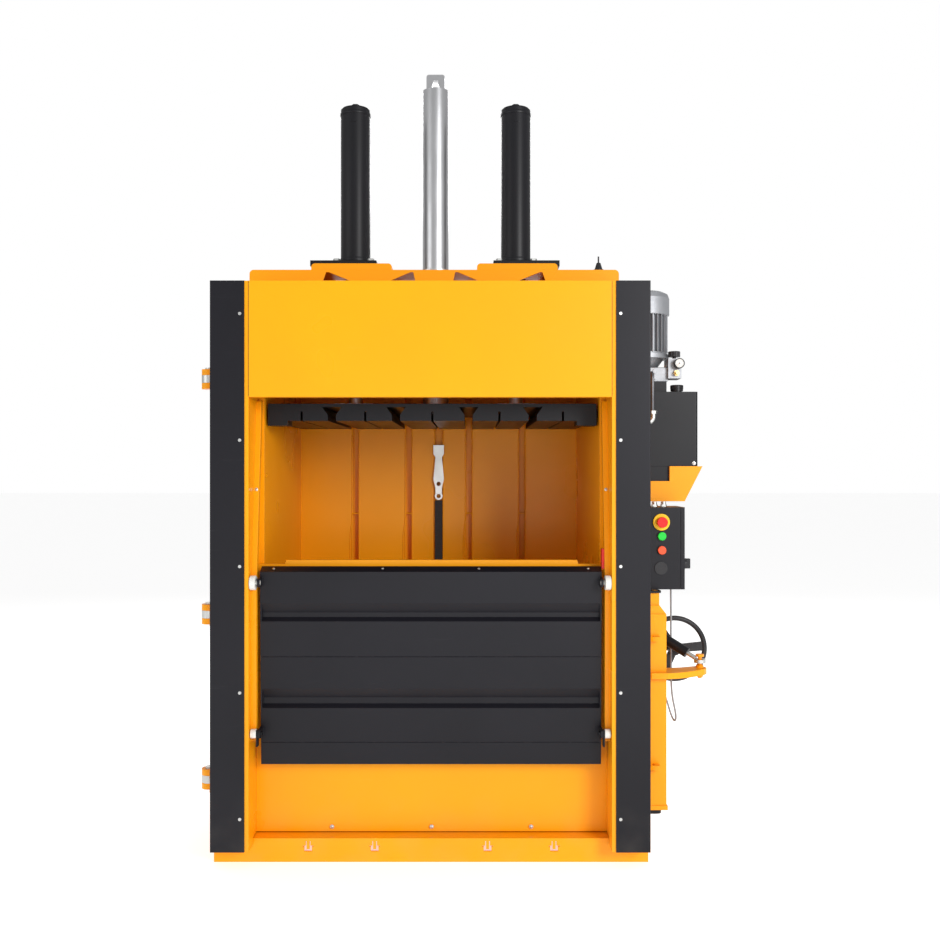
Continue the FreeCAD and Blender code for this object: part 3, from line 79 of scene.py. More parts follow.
# %% Cable
CABLE_RADIUS = 3.3 / 1000
cable_route = [
    (877.0, -275.0, 930.0),
    (877.6, -275.6, 850), (876.9, -276.6, 768), (877.8, -276.2, 686), (877.2, -277.0, 610),
    (879.0, -277.8, 560), (884.0, -279.0, 522), (889.5, -279.6, 496), (893.5, -280.3, 476),
    (895.0, -280.0, 456), (894.5, -266.0, 442), (892.0, -246.0, 442), (887.0, -232.0, 456),
    (880.0, -230.5, 478), (872.0, -234.0, 505), (860.0, -243.0, 536), (840.0, -259.0, 566),
    (808.0, -280.0, 587), (770.0, -298.0, 595), (734.0, -309.0, 592), (708.0, -321.0, 583),
    (694.5, -335.0, 574), (690.0, -350.5, 562), (690, -366, 562),
]
cable_curve = bpy.data.curves.new("switch_cable_jacket", "CURVE")
cable_curve.dimensions = "3D"
spline = cable_curve.splines.new("NURBS")
spline.points.add(len(cable_route) - 1)
for point, place in zip(spline.points, cable_route):
    point.co = (place[0] / 1000, place[1] / 1000, place[2] / 1000, 1)
spline.order_u = 3
spline.use_endpoint_u = True
spline.resolution_u = 12
cable_line = bpy.data.objects.new("switch_cable_line", cable_curve)
scene.collection.objects.link(cable_line)


def made_from(obj):
    """A plain mesh of what an object looks like now, modifiers and bevel included."""
    return bpy.data.meshes.new_from_object(obj.evaluated_get(bpy.context.evaluated_depsgraph_get()))


cable_path = [tuple(v.co) for v in made_from(cable_line).vertices]
cable_curve.bevel_depth = CABLE_RADIUS
cable_curve.bevel_resolution = 5
cable_curve.use_fill_caps = True
cable_mesh = made_from(cable_line)
cable_mesh.shade_smooth()
bpy.data.objects.remove(cable_line)
cable = bpy.data.objects.new("switch_cable_jacket", cable_mesh)
scene.collection.objects.link(cable)
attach(cable, "frame")
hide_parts("switch_cable")
print("cable points", len(cable_route))

# %% [markdown]
# ## Shader arithmetic
# A finish is a small calculation on patterns: more roughness here, a paler colour there.
# `Value` wraps a socket so that the calculation reads as plain Python, and `Finish`
# places every node, sets it up, and joins it to its inputs.

# %% Value and Finish
class Value:
    """One number that changes over a surface."""

    def __init__(self, finish, socket):
        self.finish, self.socket = finish, socket

    def math(self, operation, a, b=None):
        inputs = {0: a} if b is None else {0: a, 1: b}
        return self.finish.add("ShaderNodeMath", {"operation": operation}, inputs)

    def __add__(self, other): return self.math("ADD", self, other)
    def __radd__(self, other): return self.math("ADD", other, self)
    def __sub__(self, other): return self.math("SUBTRACT", self, other)
    def __rsub__(self, other): return self.math("SUBTRACT", other, self)
    def __mul__(self, other): return self.math("MULTIPLY", self, other)
    def __rmul__(self, other): return self.math("MULTIPLY", other, self)

    def clamp(self):
        return self.finish.add("ShaderNodeClamp", {}, {"Value": self})

    def band(self, low, high):
        """0 below low, 1 above high, and smooth between them."""
        return self.finish.add("ShaderNodeMapRange", {"interpolation_type": "SMOOTHSTEP"},
                               {"Value": self, "From Min": low, "From Max": high})


class Finish:
    """A material whose nodes are added one call at a time."""

    def __init__(self, name):
        self.material = bpy.data.materials.new(name)
        self.material.use_nodes = True
        self.tree = self.material.node_tree
        self.shader = self.tree.nodes["Principled BSDF"]
        self.place = self.add("ShaderNodeTexCoord", {}, {}, "Object")

    def add(self, kind, settings, inputs, output=0):
        node = self.tree.nodes.new(kind)
        for key, value in settings.items():
            setattr(node, key, value)
        self.join(node, inputs)
        return Value(self, node.outputs[output])

    def join(self, node, inputs):
        for key, value in inputs.items():
            if isinstance(value, Value):
                self.tree.links.new(value.socket, node.inputs[key])
            else:
                node.inputs[key].default_value = value

    def noise(self, scale, detail=3.0, rough=0.5, stretch=None):
        where = self.place
        if stretch:
            where = self.add("ShaderNodeMapping", {}, {"Vector": where, "Scale": stretch}, "Vector")
        return self.add("ShaderNodeTexNoise", {}, {"Vector": where, "Scale": scale,
                                                   "Detail": detail, "Roughness": rough}, "Fac")

    def mix(self, factor, a, b, kind="MIX"):
        node = self.tree.nodes.new("ShaderNodeMix")
        node.data_type = "RGBA"
        node.blend_type = kind
        self.join(node, {0: factor, 6: a, 7: b})
        return Value(self, node.outputs[2])

    def bump(self, height, distance, strength=1.0, normal=None):
        inputs = {"Height": height, "Distance": distance, "Strength": strength}
        if normal:
            inputs["Normal"] = normal
        return self.add("ShaderNodeBump", {}, inputs, "Normal")

    def rounded(self, radius):
        """The normal of an edge that is rounded a little, as every painted edge is."""
        return self.add("ShaderNodeBevel", {"samples": 4}, {"Radius": radius}, "Normal")

    def edge(self, rounded):
        """1 on sharp edges and 0 on flats, from how far the rounded normal leans away."""
        flat = self.add("ShaderNodeNewGeometry", {}, {}, "Normal")
        lean = self.add("ShaderNodeVectorMath", {"operation": "DOT_PRODUCT"}, {0: rounded, 1: flat},
                        "Value")
        return (1 - lean).band(0.02, 0.22)

    def height(self):
        split = self.add("ShaderNodeSeparateXYZ", {}, {"Vector": self.place}, "Z")
        return split

    def end(self, **inputs):
        names = {key: key.replace("_", " ") for key in inputs}
        self.join(self.shader, {names[key]: value for key, value in inputs.items()})
        return self.material


print("finish tools ready")

# %% [markdown]
# ## Powder coat
# Powder is blown on dry and melts into a thick skin. Up close it has the dimples of orange
# peel, its sheen drifts from place to place, it thins and chips paler on sharp edges (a paler
# rim that is also a painted edge highlight), and dust gathers near the floor. One function
# makes the orange and the charcoal skins from their own colours, because only the numbers differ.

# %% Powder coats
def powder_coat(name, colour, shade, wear_and_highlight, roughness, peel, shine):
    f = Finish(name)
    drift = f.noise(1.7, 3.0).band(0.3, 0.7)
    peel_cells = f.noise(420.0, 1.0)
    soft_waves = f.noise(9.0, 2.0)
    fine = f.noise(60.0, 5.0, 0.7)
    rounded = f.rounded(0.0016)
    # Paler patches on sharp edges: worn chips, and also a painted edge highlight.
    chips_and_edge_highlight = f.edge(rounded) * fine.band(0.5, 0.62)
    scuffs = f.noise(5.0, 6.0, 0.75, (0.6, 0.6, 7.0)).band(0.62, 0.8)
    dust = (1 - f.height().band(0.0, 0.30)) * soft_waves.band(0.35, 0.75)
    paint = f.mix(drift, colour, shade)
    paint = f.mix(scuffs * 0.10, paint, wear_and_highlight)
    # Edges are painted toward the worn colour: chipped wear, and also a painted edge highlight.
    paint = f.mix(chips_and_edge_highlight * 0.55, paint, wear_and_highlight)
    paint = f.mix(dust * 0.05, paint, (0.42, 0.38, 0.31, 1))
    skin = f.bump(peel_cells, 0.00012, peel, rounded)
    skin = f.bump(soft_waves, 0.0006, 0.25, skin)
    return f.end(Base_Color=paint,
                 Roughness=(roughness + drift * 0.08 + scuffs * 0.12 + dust * 0.1).clamp(),
                 Normal=skin, Specular_IOR_Level=shine)


orange = powder_coat("orange_powder_coat", (0.96, 0.375, 0.003, 1), (0.92, 0.350, 0.002, 1),
                     (0.98, 0.52, 0.10, 1), 0.26, 0.35, 0.25)
charcoal = powder_coat("charcoal_powder_coat", (0.0090, 0.0086, 0.0125, 1), (0.0070, 0.0067, 0.0098, 1),
                       (0.10, 0.10, 0.11, 1), 0.34, 0.45, 0.25)
satin_black = powder_coat("satin_black_paint", (0.0085, 0.0085, 0.0110, 1), (0.0065, 0.0065, 0.0085, 1),
                          (0.07, 0.07, 0.075, 1), 0.36, 0.3, 0.25)
print("coats:", orange.name, charcoal.name, satin_black.name)

# %% [markdown]
# ## Bare and plated metal
# Drawn rods and pipes carry fine lines along their length, turned parts carry rings, and
# castings are pebbled. The lines are noise squeezed hard in one direction, so the same
# function makes all three from a different squeeze.

# %% Metals
def metal(name, colour, dark, roughness, squeeze, lines, grain=0.0, fine_scale=60.0, metallic=1.0):
    f = Finish(name)
    drawn = f.noise(fine_scale, 3.0, 0.6, squeeze)
    blotch = f.noise(6.0, 4.0, 0.6).band(0.35, 0.7)
    pebble = f.noise(520.0, 2.0)
    rounded = f.rounded(0.0008)
    # Every sharp edge is painted paler toward white: a painted edge highlight.
    painted_edge_highlight = f.edge(rounded)
    skin = f.mix(blotch * 0.6, colour, dark)
    skin = f.mix(painted_edge_highlight * 0.35, skin, (0.9, 0.9, 0.9, 1))
    bumps = f.bump(drawn, 0.00008, lines, rounded)
    bumps = f.bump(pebble, 0.0003, grain, bumps)
    return f.end(Base_Color=skin, Metallic=metallic, Normal=bumps,
                 Roughness=(roughness + drawn * 0.12 + blotch * 0.10).clamp())


chrome = metal("satin_chrome", (0.60, 0.605, 0.62, 1), (0.50, 0.505, 0.52, 1), 0.24, (9.0, 9.0, 0.4),
               0.4)
zinc = metal("zinc_plate", (0.64, 0.645, 0.63, 1), (0.50, 0.50, 0.48, 1), 0.30, (1, 1, 6.0), 0.3, 0.15)
casting = metal("cast_aluminium", (0.36, 0.37, 0.39, 1), (0.28, 0.29, 0.31, 1), 0.42, (1, 1, 1), 0.2,
                0.9,
                metallic=0.75)
brass = metal("turned_brass", (0.72, 0.50, 0.22, 1), (0.52, 0.36, 0.16, 1), 0.26, (1, 1, 8.0), 0.4, 0.1)
pipe_steel = metal("bent_pipe_steel", (0.16, 0.16, 0.17, 1), (0.10, 0.10, 0.11, 1), 0.33,
                   (7.0, 7.0, 0.3), 0.4,
                   metallic=0.8)
print("metals:", [m.name for m in (chrome, zinc, casting, brass, pipe_steel)])

# %% [markdown]
# ## Moulded plastic
# Moulded parts keep the faint texture of their mould. Knobs and buttons are glossy with a
# few hairline scratches, rollers are milky nylon, and grips have a coarser grain.

# %% Plastics
def plastic(name, colour, tint, roughness, grain_scale, grain, gloss=0.2):
    f = Finish(name)
    grains = f.noise(grain_scale, 2.0)
    cloud = f.noise(14.0, 3.0).band(0.35, 0.68)
    hair = f.noise(30.0, 4.0, 0.7, (1.0, 1.0, 14.0)).band(0.6, 0.75)
    rounded = f.rounded(0.0009)
    rubbed = f.edge(rounded) * 0.45
    skin = f.mix(cloud * 0.5, colour, tint)
    skin = f.mix(rubbed, skin, tint)
    return f.end(Base_Color=skin, Normal=f.bump(grains, 0.0002, grain, rounded),
                 Specular_IOR_Level=0.2 + gloss * 0.3,
                 Roughness=(roughness + cloud * 0.06 + hair * 0.12).clamp())


black_plastic = plastic("black_moulding", (0.020, 0.020, 0.022, 1), (0.050, 0.050, 0.054, 1), 0.34,
                        700.0, 0.4)
red_plastic = plastic("red_button_plastic", (0.72, 0.008, 0.006, 1), (0.80, 0.02, 0.015, 1), 0.24,
                      500.0, 0.1, 0.5)
yellow_plastic = plastic("yellow_collar_plastic", (0.90, 0.56, 0.006, 1), (0.92, 0.62, 0.03, 1), 0.28,
                         500.0, 0.1, 0.4)
green_plastic = plastic("green_button_plastic", (0.004, 0.60, 0.030, 1), (0.02, 0.70, 0.08, 1), 0.24,
                        500.0, 0.1, 0.5)
coral_plastic = plastic("coral_button_plastic", (0.90, 0.085, 0.022, 1), (0.94, 0.14, 0.05, 1), 0.26,
                        500.0, 0.1, 0.5)
nylon = plastic("milky_nylon", (0.78, 0.775, 0.74, 1), (0.64, 0.63, 0.58, 1), 0.38, 260.0, 0.3, 0.1)
cable_jacket = plastic("grey_cable_jacket", (0.30, 0.31, 0.325, 1), (0.24, 0.25, 0.26, 1), 0.46, 900.0,
                       0.5, 0.0)
print("plastics ready")

# %% [markdown]
# ## Woven strap
# The ejector strap is webbing: two families of threads cross at right angles. Two wave
# patterns, one along and one across, raise the threads, and their average darkens the gaps.

# %% Webbing
f = Finish("black_webbing")
across = f.add("ShaderNodeTexWave", {"wave_type": "BANDS", "bands_direction": "X"},
               {"Vector": f.place, "Scale": 180.0, "Distortion": 0.4}, "Fac")
along = f.add("ShaderNodeTexWave", {"wave_type": "BANDS", "bands_direction": "Z"},
              {"Vector": f.place, "Scale": 120.0, "Distortion": 0.4}, "Fac")
threads = across * 0.5 + along * 0.5
lint = f.noise(90.0, 5.0, 0.7).band(0.5, 0.75)
weave = f.mix(threads, (0.012, 0.012, 0.013, 1), (0.045, 0.045, 0.048, 1))
webbing = f.end(Base_Color=f.mix(lint * 0.3, weave, (0.14, 0.13, 0.12, 1)),
                Roughness=(0.78 + lint * 0.1).clamp(),
                Normal=f.bump(threads, 0.0006, 0.8))
print(webbing.name)

# %% [markdown]
# ## Finishes go on
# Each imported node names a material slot. This table turns the slots into finishes, and a
# few nodes are named one by one where the real parts differ from the rest of their slot.

# %% Assign the finishes
slot_finish = {
    "orange_paint": orange, "charcoal_paint": charcoal, "black_paint": satin_black, "zinc_steel": zinc,
    "chromed_steel": chrome, "cast_aluminium": casting, "nylon_white": nylon,
    "black_plastic": black_plastic,
    "red_plastic": red_plastic, "yellow_plastic": yellow_plastic, "green_plastic": green_plastic,
    "brass": brass, "steel_pipe": pipe_steel, "webbing": webbing, "cable_grey": cable_jacket,
}
own_finish = {"red_button": coral_plastic, "frame_hinge_ears": zinc}


def dress(obj, material):
    obj.data.materials.clear()
    obj.data.materials.append(material)


for part in frame["record"]["subparts"]:
    dress(nodes[part["node"]], own_finish.get(part["node"], slot_finish[part["material_slot"]]))
dress(cable, cable_jacket)

# %% [markdown]
# ## Finding a surface
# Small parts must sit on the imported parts, never near them. A ray shot from the front at
# a given place finds the surface and the way it faces.

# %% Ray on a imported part
from mathutils.bvhtree import BVHTree

trees = {}


def surface(node, x, z, y=-2.0, way=(0, 1, 0)):
    """Where a ray along `way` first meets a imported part, and the way that surface faces."""
    if node not in trees:
        mesh = nodes[node].data
        trees[node] = BVHTree.FromPolygons([v.co for v in mesh.vertices],
                                           [p.vertices[:] for p in mesh.polygons])
    place, normal, _, _ = trees[node].ray_cast(Vector((x, y, z)), Vector(way))
    if place is None:
        raise ValueError(f"no surface of {node} at {x}, {z}")
    return place, normal


print("door front at", [round(v, 3) for v in surface("door_frame", 0.0, 1.8)[0]])

# %% [markdown]
# ## Geometry Nodes: one tree, many parts
# Screws, ripples of a weld and ticks of a dial are each one small shape repeated. A node
# tree with named inputs does the repeating, so one tree serves every row of screws. The
# result is turned into a plain mesh at the end, because a live tree would not export.

# %% Tree helpers
def new_tree(name, inputs):
    tree = bpy.data.node_groups.new(name, "GeometryNodeTree")
    for label, kind in inputs:
        tree.interface.new_socket(label, in_out="INPUT", socket_type=kind)
    tree.interface.new_socket("Made", in_out="OUTPUT", socket_type="NodeSocketGeometry")
    return tree, tree.nodes.new("NodeGroupInput"), tree.nodes.new("NodeGroupOutput")


def step(tree, kind, inputs, settings=None):
    node = tree.nodes.new(kind)
    for key, value in (settings or {}).items():
        setattr(node, key, value)
    for key, value in inputs.items():
        for one in (value if isinstance(value, list) else [value]):
            if isinstance(one, bpy.types.NodeSocket):
                tree.links.new(one, node.inputs[key])
            else:
                node.inputs[key].default_value = one
    return node


def grow(name, tree, points, edges, values, body, material):
    """Runs a tree on some points and keeps the result as one plain mesh on a body."""
    mesh = bpy.data.meshes.new(name)
    mesh.from_pydata(points, edges, [])
    obj = bpy.data.objects.new(name, mesh)
    scene.collection.objects.link(obj)
    modifier = obj.modifiers.new("grow", "NODES")
    modifier.node_group = tree
    values = dict(values, Finish=material)
    for item in tree.interface.items_tree:
        if item.in_out == "INPUT" and item.name in values:
            modifier[item.identifier] = values[item.name]
    made = made_from(obj)
    obj.modifiers.clear()
    obj.data = made
    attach(obj, body)
    print(name, len(made.vertices), "vertices on", body)
    return obj


print("tree helpers ready")

# %% [markdown]
# ## Screws and rivets
# A machine screw shows a washer, a head and a slightly domed top. Six facets make a hex
# head and many make a round one.

# %% Screw tree
screws, given, result = new_tree("screw_heads", [("Places", "NodeSocketGeometry"),
                                                 ("Head Radius", "NodeSocketFloat"),
                                                 ("Head Height", "NodeSocketFloat"),
                                                 ("Facets", "NodeSocketInt"),
                                                 ("Turn", "NodeSocketVector"),
                                                 ("Finish", "NodeSocketMaterial")])
half = step(screws, "ShaderNodeMath", {0: given.outputs["Head Height"], 1: 0.5},
            {"operation": "MULTIPLY"})
wide = step(screws, "ShaderNodeMath", {0: given.outputs["Head Radius"], 1: 1.35},
            {"operation": "MULTIPLY"})
thin = step(screws, "ShaderNodeMath", {0: given.outputs["Head Height"], 1: 0.35},
            {"operation": "MULTIPLY"})
dome = step(screws, "ShaderNodeMath", {0: given.outputs["Head Radius"], 1: 0.82},
            {"operation": "MULTIPLY"})
washer = step(screws, "GeometryNodeMeshCylinder", {"Vertices": 24, "Radius": wide.outputs[0],
                                                   "Depth": thin.outputs[0]})
head = step(screws, "GeometryNodeMeshCylinder", {"Vertices": given.outputs["Facets"],
                                                 "Depth": given.outputs["Head Height"],
                                                 "Radius": given.outputs["Head Radius"]})
ball = step(screws, "GeometryNodeMeshUVSphere", {"Segments": 20, "Rings": 10,
                                                 "Radius": dome.outputs[0]})
lift = step(screws, "ShaderNodeCombineXYZ", {"Z": half.outputs[0]})
raised = step(screws, "GeometryNodeTransform", {"Geometry": head.outputs["Mesh"],
                                                "Translation": lift.outputs[0]})
flat = step(screws, "GeometryNodeTransform", {"Geometry": ball.outputs["Mesh"], "Scale": (1, 1, 0.28)})
top = step(screws, "ShaderNodeCombineXYZ", {"Z": given.outputs["Head Height"]})
cap = step(screws, "GeometryNodeTransform", {"Geometry": flat.outputs[0],
                                             "Translation": top.outputs[0]})
whole = step(screws, "GeometryNodeJoinGeometry", {"Geometry": [washer.outputs["Mesh"],
                                                               raised.outputs[0], cap.outputs[0]]})
placed = step(screws, "GeometryNodeInstanceOnPoints", {"Points": given.outputs["Places"],
                                                       "Instance": whole.outputs[0],
                                                       "Rotation": given.outputs["Turn"]})
real = step(screws, "GeometryNodeRealizeInstances", {"Geometry": placed.outputs[0]})
painted = step(screws, "GeometryNodeSetMaterial", {"Geometry": real.outputs[0],
                                                   "Material": given.outputs["Finish"]})
screws.links.new(painted.outputs[0], result.inputs[0])


def screw_row(name, node, body, places, radius, height, facets, material):
    """Screws at (x, z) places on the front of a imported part."""
    hits = [surface(node, x, z) for x, z in places]
    turn = hits[0][1].to_track_quat("Z", "Y").to_euler()
    obj = grow(name, screws, [h[0] for h in hits], [], {"Head Radius": radius, "Head Height": height,
                                                        "Facets": facets,
                                                        "Turn": tuple(turn)}, body, material)
    return obj


screw_row("gate_lip_rivets", "gate_panel", "gate", [(x, 1.026) for x in (-0.550, -0.169, 0.167, 0.549)],
          0.0042, 0.0016, 24, zinc)
screw_row("guide_strip_screws", "guide_strips", "door", [(side * 0.613, 1.302) for side in (-1, 1)],
          0.0045, 0.002, 24, zinc)
screw_row("threshold_bolts", "lower_panel", "door", [(x, 0.105) for x in (-0.353, 0.0, 0.353)],
          0.0055, 0.003, 6, zinc)
screw_row("tank_bolt", "oil_tank", "frame", [(0.968, 1.395)], 0.0048, 0.0035, 6, zinc)

# %% [markdown]
# ## Weld beads
# The channels are stitched to the back wall with short welds. A weld is a line of
# overlapping puddles: the tree walks along each line and drops a small ball at an
# even pitch. Paint covers them, so they take the orange coat.

# %% Weld tree
welds, given, result = new_tree("weld_beads", [("Lines", "NodeSocketGeometry"),
                                               ("Pitch", "NodeSocketFloat"),
                                               ("Bead Radius", "NodeSocketFloat"),
                                               ("Finish", "NodeSocketMaterial")])
curve = step(welds, "GeometryNodeMeshToCurve", {"Mesh": given.outputs["Lines"]})
even = step(welds, "GeometryNodeResampleCurve", {"Curve": curve.outputs[0],
                                                 "Length": given.outputs["Pitch"]},
            {"mode": "LENGTH"})
puddle = step(welds, "GeometryNodeMeshUVSphere", {"Segments": 10, "Rings": 6,
                                                  "Radius": given.outputs["Bead Radius"]})
drops = step(welds, "GeometryNodeInstanceOnPoints", {"Points": even.outputs[0],
                                                     "Instance": puddle.outputs["Mesh"]})
real = step(welds, "GeometryNodeRealizeInstances", {"Geometry": drops.outputs[0]})
painted = step(welds, "GeometryNodeSetMaterial", {"Geometry": real.outputs[0],
                                                  "Material": given.outputs["Finish"]})
welds.links.new(painted.outputs[0], result.inputs[0])


def stitch(start, end, count, length):
    """Short lines at even steps between two points."""
    start, end = Vector(start), Vector(end)
    way = (end - start).normalized() * length
    return [(p,
             p + way) for p in (start + (end - start - way) * (i / (count - 1)) for i in range(count))]


WELD_PITCH, BEAD_RADIUS = 0.0042, 0.0034


def weld(name, body, lines):
    points = [p for line in lines for p in line]
    edges = [(2 * i, 2 * i + 1) for i in range(len(lines))]
    return grow(name, welds, points, edges, {"Pitch": WELD_PITCH, "Bead Radius": BEAD_RADIUS},
                        body, orange)


channel_xs = (-0.362, -0.131, 0.0, 0.131, 0.362)
lines = []
for x in channel_xs:
    for side in (-1, 1):
        edge_x = x + side * (0.0225 if x == 0 else 0.0185)
        lines += stitch((edge_x, 0.4065, 0.16), (edge_x, 0.4065, 1.90), 9, 0.05)
weld("channel_welds", "frame", lines)
bridge = []
for y in (-0.1635, 0.1635):
    bridge += stitch((-0.690, y, 2.0305), (0.690, y, 2.0305), 10, 0.07)
weld("bridge_welds", "frame", bridge)

# %% [markdown]
# ## Rolled lips of the back wall's channels
# The back wall is pressed, so each channel has a rolled lip that catches the light as a
# bright line, and a small bridge ties the two lips together at mid height.

# %% Channel lips
def bar(name, runs, radius, body, material, sides=2):
    """Thin round bars along straight or bent runs, as one plain mesh."""
    curve = bpy.data.curves.new(name, "CURVE")
    curve.dimensions = "3D"
    for run in runs:
        line = curve.splines.new("POLY")
        line.points.add(len(run) - 1)
        for point, place in zip(line.points, run):
            point.co = (*place, 1)
    curve.bevel_depth = radius
    curve.bevel_resolution = sides
    curve.use_fill_caps = True
    source = bpy.data.objects.new(name + "_line", curve)
    scene.collection.objects.link(source)
    mesh = made_from(source)
    bpy.data.objects.remove(source)
    mesh.name = name
    for face in mesh.polygons:
        face.use_smooth = True
    obj = bpy.data.objects.new(name, mesh)
    scene.collection.objects.link(obj)
    dress(obj, material)
    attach(obj, body)
    print(name, len(mesh.polygons), "faces")
    return obj


WALL_Y = 0.400          # front face of the back wall
LIP_LOW, LIP_HIGH = 0.13, 1.925
LIP_RADIUS = 0.0030
TIE_Z = 1.181           # the small bridge across each channel
FLARE = 0.008           # how far the lower lip opens
lips = []
for x in channel_xs:
    gap = 0.0180 if x == 0 else 0.0140
    edge = gap + 0.001
    lips += [[(x - edge, WALL_Y, LIP_LOW), (x - edge, WALL_Y, LIP_HIGH)],
             [(x + edge, WALL_Y, LIP_LOW), (x + edge, WALL_Y, LIP_HIGH)]]
    if x:
        lips += [[(x - edge, WALL_Y - 0.0005, TIE_Z), (x + edge, WALL_Y - 0.0005, TIE_Z)]]
        lips += [[(x - edge, WALL_Y, 1.150), (x - edge - FLARE, WALL_Y, 1.09),
                  (x - edge - FLARE, WALL_Y, LIP_LOW)]]
bar("channel_lips", lips, LIP_RADIUS, "frame", orange)

# %% [markdown]
# ## Seams of the header
# The header is a folded box set between the door's posts. A dark gap shows at each end
# where shade falls, so a hair-thin black bar lies in each seam as a painted shadow.

# %% Header seams
# Black bars that stand in for the shadow in each seam: painted shadow.
seam_shadow_lines = []
for side in (-1, 1):
    seam_y = surface("door_frame", side * 0.610, 1.8)[0].y
    seam_shadow_lines.append([(side * 0.622, seam_y + 0.0003, 1.622), (side * 0.622, seam_y + 0.0003, 2.016)])
bar("header_seam_shadows", seam_shadow_lines, 0.0009, "door", satin_black)

# %% [markdown]
# ## Ticks, knurls and grilles
# Anything set round a circle comes from one more tree: small blocks on the points of a
# circle, each turned to face outwards. It makes the gauge's ticks, the filler cap's grip
# and the slots of the buzzer.

# %% Ring tree
ring, given, result = new_tree("blocks_in_a_ring", [("Start", "NodeSocketGeometry"),
                                                    ("Count", "NodeSocketInt"),
                                                    ("Ring Radius", "NodeSocketFloat"),
                                                    ("Block", "NodeSocketVector"),
                                                    ("Place", "NodeSocketVector"),
                                                    ("Turn", "NodeSocketVector"),
                                                    ("Finish", "NodeSocketMaterial")])
circle = step(ring, "GeometryNodeMeshCircle", {"Vertices": given.outputs["Count"],
                                               "Radius": given.outputs["Ring Radius"]})
block = step(ring, "GeometryNodeMeshCube", {"Size": given.outputs["Block"]})
where = step(ring, "GeometryNodeInputPosition", {})
parts = step(ring, "ShaderNodeSeparateXYZ", {0: where.outputs[0]})
angle = step(ring, "ShaderNodeMath", {0: parts.outputs["Y"], 1: parts.outputs["X"]},
             {"operation": "ARCTAN2"})
spin = step(ring, "ShaderNodeCombineXYZ", {"Z": angle.outputs[0]})
around = step(ring, "GeometryNodeInstanceOnPoints", {"Points": circle.outputs[0],
                                                     "Instance": block.outputs["Mesh"],
                                                     "Rotation": spin.outputs[0]})
real = step(ring, "GeometryNodeRealizeInstances", {"Geometry": around.outputs[0]})
moved = step(ring, "GeometryNodeTransform", {"Geometry": real.outputs[0],
                                             "Translation": given.outputs["Place"],
                                             "Rotation": given.outputs["Turn"]})
painted = step(ring, "GeometryNodeSetMaterial", {"Geometry": moved.outputs[0],
                                                 "Material": given.outputs["Finish"]})
ring.links.new(painted.outputs[0], result.inputs[0])

FACING_FRONT = (math.radians(90), 0.0, 0.0)


def ring_of(name, body, count, radius, block, place, turn, material):
    obj = grow(name, ring, [(0, 0, 0)], [], {"Count": count, "Ring Radius": radius, "Block": block,
                                             "Place": place,
                                             "Turn": turn}, body, material)
    return obj


dial_white = plastic("dial_face_enamel", (0.80, 0.80, 0.76, 1), (0.70, 0.70, 0.66, 1), 0.35, 900.0,
                     0.05, 0.3)
gauge_low, gauge_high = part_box("pressure_gauge")
gauge = Vector(((gauge_low.x + gauge_high.x) / 2, gauge_low.y, (gauge_low.z + gauge_high.z) / 2))
ring_of("gauge_ticks", "frame", 24, 0.0128, (0.0026, 0.0006, 0.0004),
        (gauge.x, gauge.y + 0.0009, gauge.z), FACING_FRONT,
        black_plastic)
cap_low, cap_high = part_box("filler_cap")
ring_of("filler_cap_grip", "frame", 28, (cap_high.x - cap_low.x) / 2, (0.0016, 0.0022, 0.014),
        ((cap_low.x + cap_high.x) / 2, (cap_low.y + cap_high.y) / 2, cap_high.z - 0.0085), (0, 0, 0),
        black_plastic)
buzzer_low, buzzer_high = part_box("buzzer")
buzzer_middle = ((buzzer_low.x + buzzer_high.x) / 2, buzzer_low.y, (buzzer_low.z + buzzer_high.z) / 2)
for count, radius in ((6, 0.006), (12, 0.0115), (18, 0.017)):
    ring_of(f"buzzer_slots_{count}", "control_door", count, radius, (0.0032, 0.0014, 0.0008),
            buzzer_middle, FACING_FRONT,
            satin_black)

# %% [markdown]
# ## Turned parts
# Dials, rims and nuts are turned on a lathe, so each is a profile swept round an axis.
# The normals are set outwards once the seam is closed.

# %% Lathe
def lathe(name, profile, place, body, material, facets=48, turn=FACING_FRONT):
    """A profile of (radius, height) points swept round its axis. Height runs towards the front."""
    mesh = bpy.data.meshes.new(name)
    work = bmesh.new()
    rings = []
    for radius, height in profile:
        count = 1 if radius == 0 else facets
        rings.append([work.verts.new((radius * math.cos(2 * math.pi * i / facets),
                                      radius * math.sin(2 * math.pi * i / facets),
                                      height)) for i in range(count)])
    for low, high in zip(rings, rings[1:] + rings[:1]):
        for i in range(facets):
            corners = [low[i % len(low)], low[(i + 1) % len(low)], high[(i + 1) % len(high)],
                       high[i % len(high)]]
            corners = list(dict.fromkeys(corners))
            if len(corners) > 2:
                work.faces.new(corners)
    bmesh.ops.recalc_face_normals(work, faces=work.faces)
    work.transform(Matrix.Translation(place) @ Matrix.Rotation(turn[0], 4,
                                                               "X") @ Matrix.Rotation(turn[1], 4, "Y"))
    work.to_mesh(mesh)
    work.free()
    obj = bpy.data.objects.new(name, mesh)
    scene.collection.objects.link(obj)
    dress(obj, material)
    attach(obj, body)
    print(name, len(mesh.polygons), "faces")
    return obj


